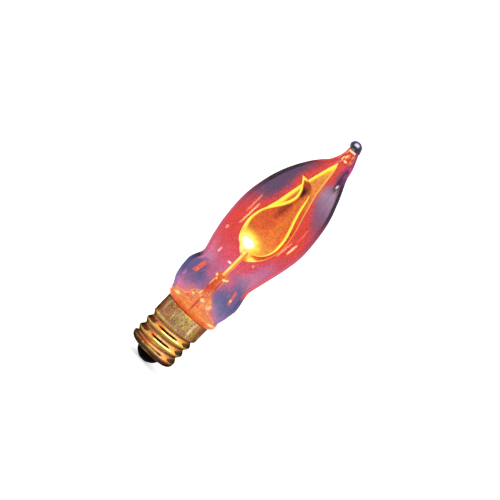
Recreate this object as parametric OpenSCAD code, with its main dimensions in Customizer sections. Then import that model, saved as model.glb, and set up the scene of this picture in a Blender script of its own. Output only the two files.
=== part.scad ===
// Flame-shaped neon glow lamp on a small screw base.
// The lamp axis is +Z, the end of the centre contact is z = 0, and the glass tip points up.
// The flame plates face -Y and +Y, and the drawn glass tip bends towards +X.
// All sizes are in millimetres.

/* [Screw shell] */
// Outside diameter of the rolled thread, and of the plain skirt above it
thread_d = 12.1; // [11.5:0.1:12.8]
// Distance from one thread crest to the next
thread_pitch = 2.54; // [2.2:0.02:2.8]
// Depth of the rolled thread from crest to root
thread_depth = 0.66; // [0.4:0.02:0.76]
// Length of the threaded stretch
thread_len = 7.6; // [6.4:0.1:9]
// Length of the plain skirt above the thread
skirt_len = 4.2; // [3.6:0.1:6]
// Thickness of the brass sheet
brass_t = 0.3; // [0.22:0.02:0.36]
// Radius of the rounded lower corner of the shell
corner_r = 1.4; // [1:0.1:1.7]

/* [Insulator and centre contact] */
// Diameter of the black dome where it leaves the shell
dome_d = 6.3; // [5.6:0.1:6.8]
// Height of the dome below the shell, contact included
dome_h = 2.5; // [2:0.1:3.2]
// Height of the insulator inside the shell
seat_h = 1.6; // [1.2:0.1:2.4]
// Diameter of the eyelet flange and of the solder on it
contact_d = 3.1; // [2.6:0.1:3.6]
// Height of the solder dome on the centre contact
contact_h = 0.35; // [0.25:0.05:0.5]
// Outside diameter of the eyelet tube
eyelet_d = 1.6; // [1.4:0.1:1.9]
// Thickness of the eyelet's brass
eyelet_t = 0.25; // [0.15:0.05:0.3]

/* [Glass envelope] */
// Largest diameter of the flame-shaped body
body_d = 19.6; // [18:0.2:23]
// Diameter of the waist between the small bulge and the body
waist_d = 14.5; // [13.6:0.1:16]
// Largest diameter of the small bulge above the base
bulge_d = 16.5; // [15.4:0.1:18]
// Diameter of the neck where the envelope is sealed to the flare
neck_d = 13.8; // [13:0.1:14]
// Height from the seal to the waist
bulge_h = 10.9; // [9.5:0.1:13]
// Height from the waist to the neck under the glass ball
flame_h = 40.4; // [37:0.2:48]
// Thickness of the blown wall
wall_t = 0.6; // [0.4:0.05:0.75]
// Sideways bend of the drawn tip
tip_bend = 1.46; // [0.8:0.02:1.8]
// Sideways offset of the small bulge
bulge_lean = 0.5; // [0:0.05:0.7]
// Diameter of the neck under the glass ball
tip_d = 3; // [2.4:0.1:3.1]
// Diameter of the solid glass ball that closes the tip
ball_d = 3.3; // [3.1:0.1:3.8]

/* [Glass stem] */
// Height of the rounded seal lip that sits on the shell
lip_h = 1.9; // [1.6:0.1:2.4]
// Largest diameter of the seal lip
lip_d = 14.2; // [14.1:0.1:14.8]
// Outside diameter of the flare tube
tube_d = 6.4; // [5.8:0.1:7]
// Thickness of the flare tube's wall
tube_t = 0.85; // [0.6:0.05:1]
// Height of the round tube above the lip, up to where it was pressed flat
tube_h = 2.2; // [1.8:0.1:3]
// Thickness of the pressed glass across the wires
press_t = 1.5; // [1.3:0.1:1.9]
// Width of the pressed glass along the row of wires
press_w = 4.2; // [3.8:0.1:5]
// Height of the press, from the round tube to its rolled top
press_h = 7.7; // [6.6:0.1:9]
// Diameter of each of the two beads along the top of the press
bead_d = 1.5; // [1.3:0.1:1.7]

/* [Flame plates] */
// Distance between the two support wires
wire_gap = 2; // [1.8:0.1:2.4]
// Diameter of the nickel support wires
support_d = 0.56; // [0.4:0.02:0.6]
// Diameter of the seal wires and of the copper leads
lead_d = 0.4; // [0.3:0.02:0.44]
// Thickness of the plates
plate_t = 0.22; // [0.15:0.01:0.3]
// Width of the front plate
front_w = 10.1; // [9:0.1:10.6]
// Height of the front plate
front_h = 21.9; // [19:0.1:24]
// Width of the rear plate
rear_w = 10.2; // [9:0.1:10.6]
// Free length of wire between the press and the front plate
front_rise = 7.4; // [5:0.1:9]
// Free length of wire between the press and the rear plate
rear_rise = 5.3; // [4:0.1:7]
// Distance from the point of the rear plate to the neck under the glass ball
spire_clear = 4.6; // [4.2:0.1:8]
// Angle by which each half of a plate is folded outwards
plate_fold = 5; // [0:1:8]
// Length of wire welded along the back of each plate
weld_len = 4.5; // [3:0.1:6]

/* [Ballast resistor] */
// Diameter of the resistor's ends
resistor_d = 2.3; // [1.9:0.1:2.5]
// Length of the resistor's body
resistor_len = 6.2; // [5:0.1:6.6]
// Diameter of the resistor's wires
resistor_wire_d = 0.5; // [0.4:0.05:0.6]
// Inside diameter of the insulating tube round the resistor
sleeve_bore = 2.8; // [2.6:0.1:3.2]
// Wall of the insulating tube
sleeve_t = 0.25; // [0.2:0.05:0.4]
// Length of the insulating tube
sleeve_len = 9.4; // [8:0.1:10]

/* [Cement and solder] */
// Height of the ring of basing cement
cement_h = 3.6; // [2.6:0.1:3.9]
// Inside diameter of the ring of basing cement
cement_bore = 8; // [7:0.1:9]
// Diameter of the solder bead that joins the centre lead to the resistor
splice_d = 1.1; // [0.9:0.05:1.4]
// Diameter of the wiped solder joint in the side of the skirt
side_dot_d = 1.2; // [0.9:0.1:1.4]
// Depth of the side lead below the rim of the skirt
side_drop = 0.95; // [0.85:0.05:1.3]

/* [Hidden] */
$fn = 96;

// Clearance between pieces that slip into one another
fit_gap = 0.05;
// Amount by which a cutting solid reaches past what it cuts
over = 1;
// Inset of the rolled sheet where it meets the exact rings, so that no edges coincide
roll_inset = 0.03;

// Segments round the envelope and round the rolled thread, and rows of the thread
glass_sides = 40;
thread_sides = 36;
thread_rows = 26;
// Steps between two outline points of the envelope and of a plate, and steps in an arc
glass_steps = 2;
plate_steps = 4;
arc_steps = 6;
ball_steps = 7;
// Sides of a bent lead, and steps along it
lead_sides = 8;
lead_steps = 10;
// Direction in which one thread crest stands, and its height above the foot of the thread
crest_turn = 15;
crest_rise = 0.4;
// Stretch over which the thread runs out at its foot and at the skirt
foot_fade = 0.5;
skirt_fade = 1;

// Heights along the lamp axis
shell_z = dome_h;
thread_z = shell_z + corner_r;
skirt_z = thread_z + thread_len;
rim_z = skirt_z + skirt_len;
seal_z = rim_z + lip_h;
waist_z = seal_z + bulge_h;
tip_z = waist_z + flame_h;
seat_z = shell_z + brass_t;
insulator_top = seat_z + seat_h;
tube_top = seal_z + tube_h;
press_top = tube_top + press_h;
bead_z = press_top - bead_d / 2;

// Radii worked out from the diameters above
thread_r = thread_d / 2;
shell_bore_r = thread_r - brass_t;
flange_r = thread_r - corner_r;
dome_r = dome_d / 2;
lip_r = lip_d / 2;
tube_r = tube_d / 2;
tube_bore_r = tube_r - tube_t;
ball_r = ball_d / 2;
tip_r = tip_d / 2;
lead_r = lead_d / 2;
support_r = support_d / 2;
wire_y = wire_gap / 2;

// Height of the pressed shoulder between the round tube and the flat press
press_taper = 1.9;
// Height of the closed cone at the top of the stem's hollow
hollow_taper = 1.2;
// Distance of each bead of the press from the middle plane, as a share of its diameter
bead_share = 0.36;
bead_x = bead_share * bead_d;

function smooth(t) = let (u = min(max(t, 0), 1)) u * u * (3 - 2 * u);
function arc(centre, r, from, to, steps = arc_steps) =
    [for (i = [0:steps]) let (a = from + (to - from) * i / steps)
        [centre[0] + r * cos(a), centre[1] + r * sin(a)]];

// One point of a smooth curve through a list of points, between point i and the next
function on_curve(p, i, t) =
    let (n = len(p) - 1,
         a = p[max(i - 1, 0)], b = p[i], c = p[min(i + 1, n)], d = p[min(i + 2, n)])
    0.5 * (2 * b + (c - a) * t + (2 * a - 5 * b + 4 * c - d) * t * t + (3 * b - a - 3 * c + d) * t * t * t);
function curve(p, steps) =
    concat([for (i = [0:len(p) - 2]) for (k = [0:steps - 1]) on_curve(p, i, k / steps)], [p[len(p) - 1]]);

// Triangles between neighbouring rings of a skin, from the point numbered start onwards
function skin(start, rings, sides) =
    [for (j = [0:rings - 2]) for (i = [0:sides - 1])
        let (a = start + j * sides + i, b = start + j * sides + (i + 1) % sides)
        for (f = [[a, a + sides, b], [b, a + sides, b + sides]]) f];
function turned(faces) = [for (f = faces) [f[2], f[1], f[0]]];
// Triangles of a flat ring between two rings of points
function bridge(inner, outer, sides) =
    [for (i = [0:sides - 1]) let (k = (i + 1) % sides)
        for (f = [[inner + i, outer + i, inner + k], [inner + k, outer + i, outer + k]]) f];
// Triangles that close a ring of points with one more point
function fan(ring, point, sides) = [for (i = [0:sides - 1]) [ring + i, point, ring + (i + 1) % sides]];

module ring(r_out, r_in, h) {
    difference() {
        cylinder(r = r_out, h = h);
        translate([0, 0, -over])
            cylinder(r = r_in, h = h + 2 * over);
    }
}

// Rolled thread: a right-hand wave in the sheet that runs out at the foot and at the skirt
function crest_wave(a, z) = 0.5 + 0.5 * cos(360 * (z - thread_z - crest_rise) / thread_pitch - a + crest_turn);
function thread_fade(z) = min(smooth((z - thread_z) / foot_fade), smooth((skirt_z - z) / skirt_fade));
function rolled_r(a, z) = thread_r - roll_inset - thread_depth * thread_fade(z) * (1 - crest_wave(a, z));
function thread_rings(inset) =
    [for (j = [0:thread_rows]) for (i = [0:thread_sides - 1])
        let (z = thread_z + thread_len * j / thread_rows, a = 360 * i / thread_sides, r = rolled_r(a, z) - inset)
        [r * cos(a), r * sin(a), z]];

module rolled_thread() {
    rings = thread_rows + 1;
    count = rings * thread_sides;
    polyhedron(
        points = concat(thread_rings(0), thread_rings(brass_t - 2 * roll_inset)),
        faces = concat(
            skin(0, rings, thread_sides),
            turned(skin(count, rings, thread_sides)),
            bridge(count, 0, thread_sides),
            turned(bridge(2 * count - thread_sides, count - thread_sides, thread_sides))));
}

module screw_shell() {
    color("#b0904f")
    difference() {
        union() {
            rotate_extrude()
                polygon(concat(
                    [[dome_r + fit_gap, seat_z], [dome_r + fit_gap, shell_z]],
                    arc([flange_r, thread_z], corner_r, -90, 0),
                    arc([flange_r, thread_z], corner_r - brass_t, 0, -90)));
            rolled_thread();
            translate([0, 0, skirt_z])
                ring(thread_r, shell_bore_r, skirt_len);
        }
        translate([0, 0, rim_z - side_drop])
            rotate([-90, 0, 0])
                cylinder(d = side_dot_d, h = thread_r + over);
    }
}

// The black dome is a half ellipse cut off where the contact begins
dome_cut = asin((dome_h - contact_h) / dome_h);
module base_insulator() {
    color("#0c0b0b")
    difference() {
        union() {
            rotate_extrude()
                polygon(concat(
                    [[0, contact_h]],
                    [for (i = [2 * arc_steps:-1:0]) let (a = dome_cut * i / (2 * arc_steps))
                        [dome_r * cos(a), dome_h - dome_h * sin(a)]],
                    [[dome_r, seat_z], [0, seat_z]]));
            translate([0, 0, seat_z])
                cylinder(r = flange_r - fit_gap, h = seat_h);
        }
        translate([0, 0, contact_h - over])
            cylinder(d = contact_d, h = over + eyelet_t);
        translate([0, 0, -over])
            cylinder(d = eyelet_d, h = insulator_top + 2 * over);
    }
}

module contact_eyelet() {
    color("#8f7d52")
    rotate_extrude() {
        bore_r = eyelet_d / 2 - eyelet_t;
        polygon([
            [bore_r, contact_h],
            [contact_d / 2, contact_h],
            [contact_d / 2, contact_h + eyelet_t],
            [eyelet_d / 2, contact_h + eyelet_t],
            [eyelet_d / 2, insulator_top],
            [eyelet_d / 2 + eyelet_t, insulator_top],
            [eyelet_d / 2 + eyelet_t, insulator_top + eyelet_t],
            [bore_r, insulator_top + eyelet_t]]);
    }
}

// Solder fills the lower end of the eyelet and stands below it as a low dome with a flat end
plug_h = 0.8;
plug_z = contact_h + plug_h;
// Height in the solder at which the resistor's wire ends
foot_h = 0.1;
lead_foot_z = contact_h + foot_h;
// Share of the solder's width that is flat
flat_share = 0.45;
flat_r = flat_share * contact_d / 2;
module solder_centre() {
    color("#2b2a2a")
    difference() {
        rotate_extrude()
            polygon(concat(
                [[0, 0], [flat_r, 0]],
                [for (i = [1:arc_steps]) let (a = 90 * i / arc_steps)
                    [flat_r + (contact_d / 2 - flat_r) * sin(a), contact_h * (1 - cos(a))]],
                [[eyelet_d / 2 - eyelet_t, contact_h], [eyelet_d / 2 - eyelet_t, plug_z], [0, plug_z]]));
        translate([0, 0, lead_foot_z])
            cylinder(d = resistor_wire_d, h = plug_z);
    }
}

// The resistor hangs on its two wires along the lamp axis, inside the insulating tube
sleeve_past = 1.2;
resistor_z = insulator_top + sleeve_len - resistor_len - sleeve_past;
resistor_top = resistor_z + resistor_len;
splice_drop = 0.25;
splice_z = rim_z - splice_drop;
// Length of the thicker ends of the resistor, the share of its width between them, and its edge radius
end_len = 0.9;
waist_share = 0.86;
round_r = 0.3;
module ballast_resistor() {
    color("#c9b48a")
    rotate_extrude() {
        end_r = resistor_d / 2;
        mid_r = end_r * waist_share;
        polygon(concat(
            [[0, resistor_z]],
            arc([end_r - round_r, resistor_z + round_r], round_r, -90, 0),
            [[end_r, resistor_z + end_len], [mid_r, resistor_z + end_len + round_r]],
            [[mid_r, resistor_top - end_len - round_r], [end_r, resistor_top - end_len]],
            arc([end_r - round_r, resistor_top - round_r], round_r, 0, 90),
            [[0, resistor_top]]));
    }
}

module resistor_lead_lower() {
    color("#b9b7b2")
    translate([0, 0, lead_foot_z])
        cylinder(d = resistor_wire_d, h = resistor_z - lead_foot_z);
}

module resistor_lead_upper() {
    color("#b9b7b2")
    translate([0, 0, resistor_top])
        cylinder(d = resistor_wire_d, h = splice_z - resistor_top);
}

module insulating_sleeve() {
    color("#d8d2c0")
    translate([0, 0, insulator_top])
        ring(sleeve_bore / 2 + sleeve_t, sleeve_bore / 2, sleeve_len);
}

module splice_solder() {
    color("#9a9a98")
    difference() {
        translate([0, 0, splice_z])
            sphere(d = splice_d);
        translate([0, 0, splice_z - splice_d])
            cylinder(d = resistor_wire_d, h = splice_d);
        translate([0, 0, splice_z])
            cylinder(r = lead_r, h = splice_d);
    }
}

module basing_cement() {
    color("#cdbfa4")
    difference() {
        translate([0, 0, rim_z - cement_h])
            ring(shell_bore_r, cement_bore / 2, cement_h);
        translate([0, 0, rim_z - side_drop])
            rotate([-90, 0, 0])
                cylinder(r = lead_r + fit_gap, h = thread_r + over);
    }
}

// A bent wire in the YZ plane: a tube swept along points that carry their own direction
function wire_ring(p, a) =
    [for (i = [0:lead_sides - 1]) let (t = 360 * i / lead_sides)
        [lead_r * cos(t), p[0] - lead_r * sin(t) * sin(a), p[1] + lead_r * sin(t) * cos(a)]];
module bent_wire(path) {
    rings = len(path);
    last = (rings - 1) * lead_sides;
    polyhedron(
        points = [for (p = path) for (q = wire_ring([p[0], p[1]], p[2])) q],
        faces = concat(
            turned(skin(0, rings, lead_sides)),
            [[for (i = [lead_sides - 1:-1:0]) i]],
            [[for (i = [0:lead_sides - 1]) last + i]]));
}

// Both leads start under the seal wires, a little below the glass that closes the hollow
joint_drop = 0.3;
lead_top_z = tube_top + hollow_taper * (1 - wire_y / tube_bore_r) - joint_drop;
// The centre lead is straight at both ends and leans in to the lamp axis between them
straight_foot = 0.6;
straight_top = 0.8;
lean_z = splice_z + straight_foot;
lean_len = lead_top_z - lean_z - straight_top;
function lean_y(z) = -wire_y * smooth((z - lean_z) / lean_len);
function lean_turn(z) = let (step = 0.01) atan2(2 * step, lean_y(z + step) - lean_y(z - step));

module centre_lead() {
    color("#b4683c")
    bent_wire(concat(
        [[-wire_y, lead_top_z, -90]],
        [for (i = [lead_steps:-1:0]) let (z = lean_z + lean_len * i / lead_steps) [lean_y(z), z, lean_turn(z) + 180]],
        [[0, splice_z, -90]]));
}

// The side lead turns outwards through the cement and ends in the solder joint
side_bend_r = 1.2;
side_z = rim_z - side_drop;
module side_lead() {
    color("#b4683c")
    bent_wire(concat(
        [[wire_y, lead_top_z, -90]],
        [for (i = [0:lead_steps]) let (a = 180 + 90 * i / lead_steps)
            [wire_y + side_bend_r + side_bend_r * cos(a), side_z + side_bend_r + side_bend_r * sin(a), a + 90]],
        [[thread_r - brass_t / 2, side_z, 360]]));
}

module side_solder() {
    color("#8d8a85")
    difference() {
        intersection() {
            translate([0, 0, skirt_z])
                ring(thread_r, shell_bore_r, skirt_len);
            translate([0, 0, side_z])
                rotate([-90, 0, 0])
                    cylinder(d = side_dot_d, h = thread_r + over);
        }
        translate([0, 0, side_z])
            rotate([-90, 0, 0])
                cylinder(r = lead_r + fit_gap, h = thread_r - brass_t / 2);
    }
}

// The envelope stands a little off centre on the flat top of the lip
seal_lean = 0.3;
seal_shift = seal_lean * bulge_lean;
seat_in = neck_d / 2 - wall_t - seal_shift - fit_gap;
seat_out = neck_d / 2 + seal_shift;
// Shares of the lip's overhang and height at which it swells and is widest
swell = [0.55, 0.2];
widest = 0.58;
lip_outline = [
    [thread_r, rim_z], [thread_r + swell[0] * (lip_r - thread_r), rim_z + swell[1] * lip_h],
    [lip_r, rim_z + widest * lip_h], [seat_out, seal_z]];
// Rise of the flare inside the seat, and the share of the tube's height over which it spreads
flange_rise = 0.15;
flare_share = 0.75;
// Hollow of the flare: wall at the mouth, then a step in at a share of the lip's height, then the throat
mouth_wall = 1;
mouth_r = thread_r - mouth_wall;
mouth_step = 0.5;
step_share = 0.45;
throat_rise = 0.4;

// The stem is a flared tube whose upper end was pressed flat across the wires
module stem_turned() {
    rotate_extrude()
        polygon(concat(
            [[0, rim_z]],
            curve(lip_outline, arc_steps / 2),
            [[seat_in, seal_z]],
            [for (i = [1:arc_steps]) let (t = i / arc_steps)
                [tube_r + (seat_in - tube_r) * (1 - t) * (1 - t), seal_z + flange_rise + flare_share * tube_h * t * t]],
            [[tube_r, tube_top], [press_w / 2, tube_top + press_taper], [press_w / 2, press_top], [0, press_top]]));
}

module stem_pressed() {
    reach = 2 * lip_r;
    rotate([90, 0, 0])
        translate([0, 0, -lip_r - over])
            linear_extrude(2 * (lip_r + over))
                polygon([
                    [-reach, rim_z - over], [reach, rim_z - over],
                    [reach, tube_top], [tube_r, tube_top],
                    [press_t / 2, tube_top + press_taper], [press_t / 2, bead_z],
                    [-press_t / 2, bead_z], [-press_t / 2, tube_top + press_taper],
                    [-tube_r, tube_top], [-reach, tube_top]]);
    for (side = [-1, 1])
        translate([side * bead_x, 0, bead_z])
            rotate([90, 0, 0])
                cylinder(d = bead_d, h = 2 * tube_r, center = true);
}

// Depth to which the support wires are sealed into the press
support_sink = 1.1;
support_foot_z = press_top - support_sink;
module stem_flare() {
    color("#e8763a", 0.8)
    difference() {
        intersection() {
            stem_turned();
            stem_pressed();
        }
        rotate_extrude()
            polygon([
                [0, rim_z - over], [mouth_r, rim_z - over], [mouth_r, rim_z],
                [mouth_r - mouth_step, rim_z + step_share * lip_h], [tube_bore_r, seal_z + throat_rise],
                [tube_bore_r, tube_top], [0, tube_top + hollow_taper]]);
        for (side = [-1, 1])
            translate([0, side * wire_y, 0]) {
                translate([0, 0, tube_top])
                    cylinder(r = lead_r, h = press_h);
                translate([0, 0, support_foot_z])
                    cylinder(r = support_r, h = press_h);
            }
    }
}

module seal_wire(side) {
    color("#a04a35")
    translate([0, side * wire_y, lead_top_z])
        cylinder(r = lead_r, h = support_foot_z - lead_top_z);
}
module seal_wire_front() {
    seal_wire(-1);
}
module seal_wire_rear() {
    seal_wire(1);
}

// The end of each support wire is flattened where it is welded to its plate
weld_sink = 0.08;
flat_lead_in = 0.5;
plate_y = wire_y + support_r - weld_sink;
front_z = press_top + front_rise;
rear_z = press_top + rear_rise;
rear_h = tip_z - spire_clear - rear_z;
module support_wire(side, rise) {
    color("#d9a05a")
    difference() {
        translate([0, side * wire_y, support_foot_z])
            cylinder(r = support_r, h = press_top + rise + weld_len - support_foot_z);
        translate([-over, side > 0 ? plate_y : -plate_y - over, press_top + rise - flat_lead_in])
            cube([2 * over, over, weld_len + over]);
    }
}
module support_wire_front() {
    support_wire(-1, front_rise);
}
module support_wire_rear() {
    support_wire(1, rear_rise);
}

// A plate keeps a flat strip where the wire is welded, and its halves fold away from the wire
strip_w = 0.6;
module folded_sheet(side, low, high) {
    reach = body_d / 2;
    out = (reach - strip_w) * tan(plate_fold);
    near = side * plate_y;
    translate([0, 0, low])
        linear_extrude(high - low)
            polygon([
                [-reach, near + side * out], [-strip_w, near], [strip_w, near], [reach, near + side * out],
                [reach, near + side * (out + plate_t)], [strip_w, near + side * plate_t],
                [-strip_w, near + side * plate_t], [-reach, near + side * (out + plate_t)]]);
}

// Outline of a plate as shares of its width and height, from the tip down the left side and back up
module flame_plate(side, outline, w, h, foot_z) {
    intersection() {
        translate([0, 0, foot_z])
            rotate([90, 0, 0])
                translate([0, 0, -body_d / 2])
                    linear_extrude(body_d)
                        polygon([for (p = curve(outline, plate_steps)) [p[0] * w, p[1] * h]]);
        folded_sheet(side, foot_z - over, foot_z + h + over);
    }
}

front_outline = [
    [-0.29, 1], [-0.19, 0.94], [-0.11, 0.88], [-0.07, 0.81], [-0.09, 0.74], [-0.17, 0.66],
    [-0.28, 0.57], [-0.4, 0.47], [-0.47, 0.37], [-0.49, 0.26], [-0.42, 0.12], [-0.29, 0.035], [-0.04, 0],
    [0.2, 0.035], [0.38, 0.1], [0.49, 0.19], [0.52, 0.28], [0.5, 0.39], [0.43, 0.5],
    [0.34, 0.61], [0.26, 0.73], [0.2, 0.84], [0.12, 0.93], [0.02, 0.98], [-0.12, 0.997], [-0.29, 1]];
module flame_plate_front() {
    color("#e06a2c")
    flame_plate(-1, front_outline, front_w, front_h, front_z);
}

rear_outline = [
    [0.02, 1], [-0.05, 0.93], [-0.12, 0.85], [-0.2, 0.755], [-0.26, 0.68], [-0.32, 0.59],
    [-0.38, 0.49], [-0.45, 0.41], [-0.5, 0.32], [-0.49, 0.22], [-0.42, 0.14], [-0.29, 0.06], [-0.1, 0.01],
    [0.06, 0], [0.2, 0.035], [0.34, 0.09], [0.45, 0.165], [0.5, 0.25], [0.48, 0.34], [0.42, 0.43],
    [0.34, 0.52], [0.26, 0.62], [0.19, 0.7], [0.15, 0.78], [0.12, 0.86], [0.08, 0.95], [0.02, 1]];
module flame_plate_rear() {
    color("#e8833c")
    flame_plate(1, rear_outline, rear_w, rear_h, rear_z);
}

// Envelope outline: height, radius and sideways offset of each station.
// Shares run from the seal to the waist, and then from the waist to the neck under the ball.
function between(a, b, t) = a + (b - a) * t;
bulge_shares = [
    [0, 0, seal_lean], [0.09, 0.24, 0.7], [0.2, 0.6, 1], [0.35, 0.84, 1.1], [0.5, 1, 1.05],
    [0.68, 0.87, 1.3], [0.84, 0.35, 1]];
rise_shares = [[0, 0, 0.6], [0.08, 0.3, 0.7], [0.18, 0.66, 0.6], [0.28, 0.91, 0.2]];
fall_shares = [
    [0.36, 1, 0], [0.45, 0.98, 0], [0.56, 0.9, 0.06], [0.64, 0.795, 0.12], [0.7, 0.68, 0.17], [0.75, 0.57, 0.26],
    [0.8, 0.44, 0.37], [0.84, 0.32, 0.55], [0.87, 0.225, 0.8], [0.9, 0.17, 0.96], [0.94, 0.1, 1], [1, 0, 0.82]];
glass_stations = concat(
    [for (s = bulge_shares) [
        seal_z + bulge_h * s[0],
        between(s[0] < 0.5 ? neck_d : waist_d, bulge_d, s[1]) / 2,
        -bulge_lean * s[2]]],
    [for (s = rise_shares) [waist_z + flame_h * s[0], between(waist_d, body_d, s[1]) / 2, -bulge_lean * s[2]]],
    [for (s = fall_shares) [waist_z + flame_h * s[0], between(tip_d, body_d, s[1]) / 2, tip_bend * s[2]]]);

// The ball sits a little back towards the axis, and its lower cap is lost in the neck
sink_limit = 0.95;
ball_back = 0.6;
ball_sink = asin(min(tip_r / ball_r, sink_limit));
ball_z = tip_z + ball_r * cos(ball_sink);
ball_x = tip_bend * ball_back;
tip_x = glass_stations[len(glass_stations) - 1][2];
total_h = ball_z + ball_r;

outer_line = concat(
    curve(glass_stations, glass_steps),
    [for (i = [1:ball_steps - 1])
        let (a = between(180 - ball_sink, 0, i / ball_steps))
        [ball_z + ball_r * cos(a), ball_r * sin(a), between(tip_x, ball_x, smooth(3 * i / ball_steps))]]);
// The hollow ends in a short cone in the drawn neck, where the wall has closed
closed_len = 1.2;
cone_len = 0.6;
hollow_top = tip_z - closed_len;
inner_line =
    [for (p = curve(glass_stations, glass_steps)) if (p[0] < hollow_top - cone_len) [p[0], p[1] - wall_t, p[2]]];

function glass_rings(line) =
    [for (p = line) for (i = [0:glass_sides - 1]) let (a = 360 * i / glass_sides)
        [p[2] + p[1] * cos(a), p[1] * sin(a), p[0]]];

module glass_envelope() {
    color("#c98fa0", 0.35) {
        outer_count = len(outer_line) * glass_sides;
        inner_count = len(inner_line) * glass_sides;
        top = outer_count + inner_count;
        polyhedron(
            points = concat(
                glass_rings(outer_line),
                glass_rings(inner_line),
                [[ball_x, 0, total_h], [inner_line[len(inner_line) - 1][2], 0, hollow_top]]),
            faces = concat(
                skin(0, len(outer_line), glass_sides),
                turned(skin(outer_count, len(inner_line), glass_sides)),
                bridge(outer_count, 0, glass_sides),
                fan(outer_count - glass_sides, top, glass_sides),
                turned(fan(top - glass_sides, top + 1, glass_sides))));
    }
}

glass_envelope();
stem_flare();
flame_plate_front();
flame_plate_rear();
support_wire_front();
support_wire_rear();
seal_wire_front();
seal_wire_rear();
centre_lead();
side_lead();
splice_solder();
ballast_resistor();
resistor_lead_upper();
resistor_lead_lower();
insulating_sleeve();
basing_cement();
screw_shell();
base_insulator();
contact_eyelet();
solder_centre();
side_solder();
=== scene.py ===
import math

import bmesh
import bpy
import numpy as np
from mathutils import Matrix, Vector
from mathutils.bvhtree import BVHTree
from mathutils.interpolate import poly_3d_calc


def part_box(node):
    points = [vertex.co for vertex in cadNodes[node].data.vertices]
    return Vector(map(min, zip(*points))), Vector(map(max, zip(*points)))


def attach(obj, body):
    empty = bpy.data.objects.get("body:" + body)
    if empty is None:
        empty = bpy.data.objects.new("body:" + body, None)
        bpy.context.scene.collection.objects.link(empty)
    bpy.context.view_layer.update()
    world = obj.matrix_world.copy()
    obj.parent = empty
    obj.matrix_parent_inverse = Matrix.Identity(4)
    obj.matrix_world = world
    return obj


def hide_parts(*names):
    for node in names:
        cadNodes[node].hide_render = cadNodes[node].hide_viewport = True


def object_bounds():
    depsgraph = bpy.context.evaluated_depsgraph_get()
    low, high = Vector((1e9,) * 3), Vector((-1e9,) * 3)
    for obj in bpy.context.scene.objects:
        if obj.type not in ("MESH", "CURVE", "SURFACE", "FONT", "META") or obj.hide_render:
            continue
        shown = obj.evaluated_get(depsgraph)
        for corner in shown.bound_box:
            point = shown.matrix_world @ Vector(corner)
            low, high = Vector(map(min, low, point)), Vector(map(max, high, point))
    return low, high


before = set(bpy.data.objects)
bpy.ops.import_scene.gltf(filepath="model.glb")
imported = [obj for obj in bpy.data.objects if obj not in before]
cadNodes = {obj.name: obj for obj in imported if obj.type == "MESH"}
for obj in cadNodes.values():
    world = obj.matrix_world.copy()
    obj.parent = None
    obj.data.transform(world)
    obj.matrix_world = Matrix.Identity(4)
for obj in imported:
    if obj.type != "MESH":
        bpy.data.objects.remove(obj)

# A flame-shaped neon glow lamp. Everything is in metres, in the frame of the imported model.
scene = bpy.context.scene
lowCad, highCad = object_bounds()
mm = 0.001


def tone(red, green, blue):  # a screen colour, 0 to 255, as Blender's linear colour
    return tuple(((c / 255 + 0.055) / 1.055) ** 2.4 if c > 10 else c / 255 / 12.92 for c in (red, green, blue)) + (1.0,)


# Camera: 15 degrees to the right of the front, a little above, and rolled as the photo is
photoCamera = {"azimuth": 15.0, "elevation": 8.0, "lampSlope": 45.4, "pixel": 0.2313 * mm, "axisAt": (166.5, 333.9),
               "axisHeight": 8.1 * mm, "lens": 260.0, "frame": 500}


def makeCamera(setup):
    turn, rise, slope = (math.radians(setup[k]) for k in ("azimuth", "elevation", "lampSlope"))
    back = Vector((math.sin(turn) * math.cos(rise), -math.cos(turn) * math.cos(rise), math.sin(rise)))
    along = (Vector((0, 0, 1)) - back * math.sin(rise)).normalized()
    across = along.cross(back)
    right = along * math.cos(slope) + across * math.sin(slope)
    up = along * math.sin(slope) - across * math.cos(slope)
    middle = setup["frame"] / 2
    target = Vector((0, 0, setup["axisHeight"])) + right * (middle - setup["axisAt"][0]) * setup["pixel"]
    target += up * (setup["axisAt"][1] - middle) * setup["pixel"]
    data = bpy.data.cameras.new("photoCamera")
    data.lens = setup["lens"]
    data.clip_start = 0.01
    distance = setup["pixel"] * setup["frame"] / data.sensor_width * data.lens
    camera = bpy.data.objects.new("photoCamera", data)
    scene.collection.objects.link(camera)
    place = target + back * distance
    camera.matrix_world = Matrix([(right[i], up[i], back[i], place[i]) for i in range(3)] + [(0, 0, 0, 1)])
    scene.camera = camera
    return {"place": place, "right": right, "up": up, "back": back, "target": target}


view = makeCamera(photoCamera)
print("camera ready")


# Small helpers for node trees
def put(tree, kind, values=None, **settings):
    node = tree.nodes.new(kind)
    for name, value in settings.items():
        setattr(node, name, value)
    for name, value in (values or {}).items():
        if isinstance(value, bpy.types.NodeSocket):
            tree.links.new(value, node.inputs[name])
        elif value is not None:
            node.inputs[name].default_value = value
    return node


def maths(tree, operation, a, b=None, clamp=False):
    return put(tree, "ShaderNodeMath", {0: a, 1: b}, operation=operation, use_clamp=clamp).outputs[0]


def ease(tree, value, low, high):  # 0 at low, 1 at high, smooth between
    return put(tree, "ShaderNodeMapRange", {"Value": value, "From Min": low, "From Max": high},
               interpolation_type="SMOOTHSTEP").outputs[0]


def hump(tree, value, start, top, end, finish):  # 1 between top and end, 0 outside start and finish
    return maths(tree, "MULTIPLY", ease(tree, value, start, top), ease(tree, value, finish, end))


def mixColour(tree, factor, a, b, mode="MIX"):
    return put(tree, "ShaderNodeMix", {0: factor, 6: a, 7: b}, data_type="RGBA", blend_type=mode).outputs[2]


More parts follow.
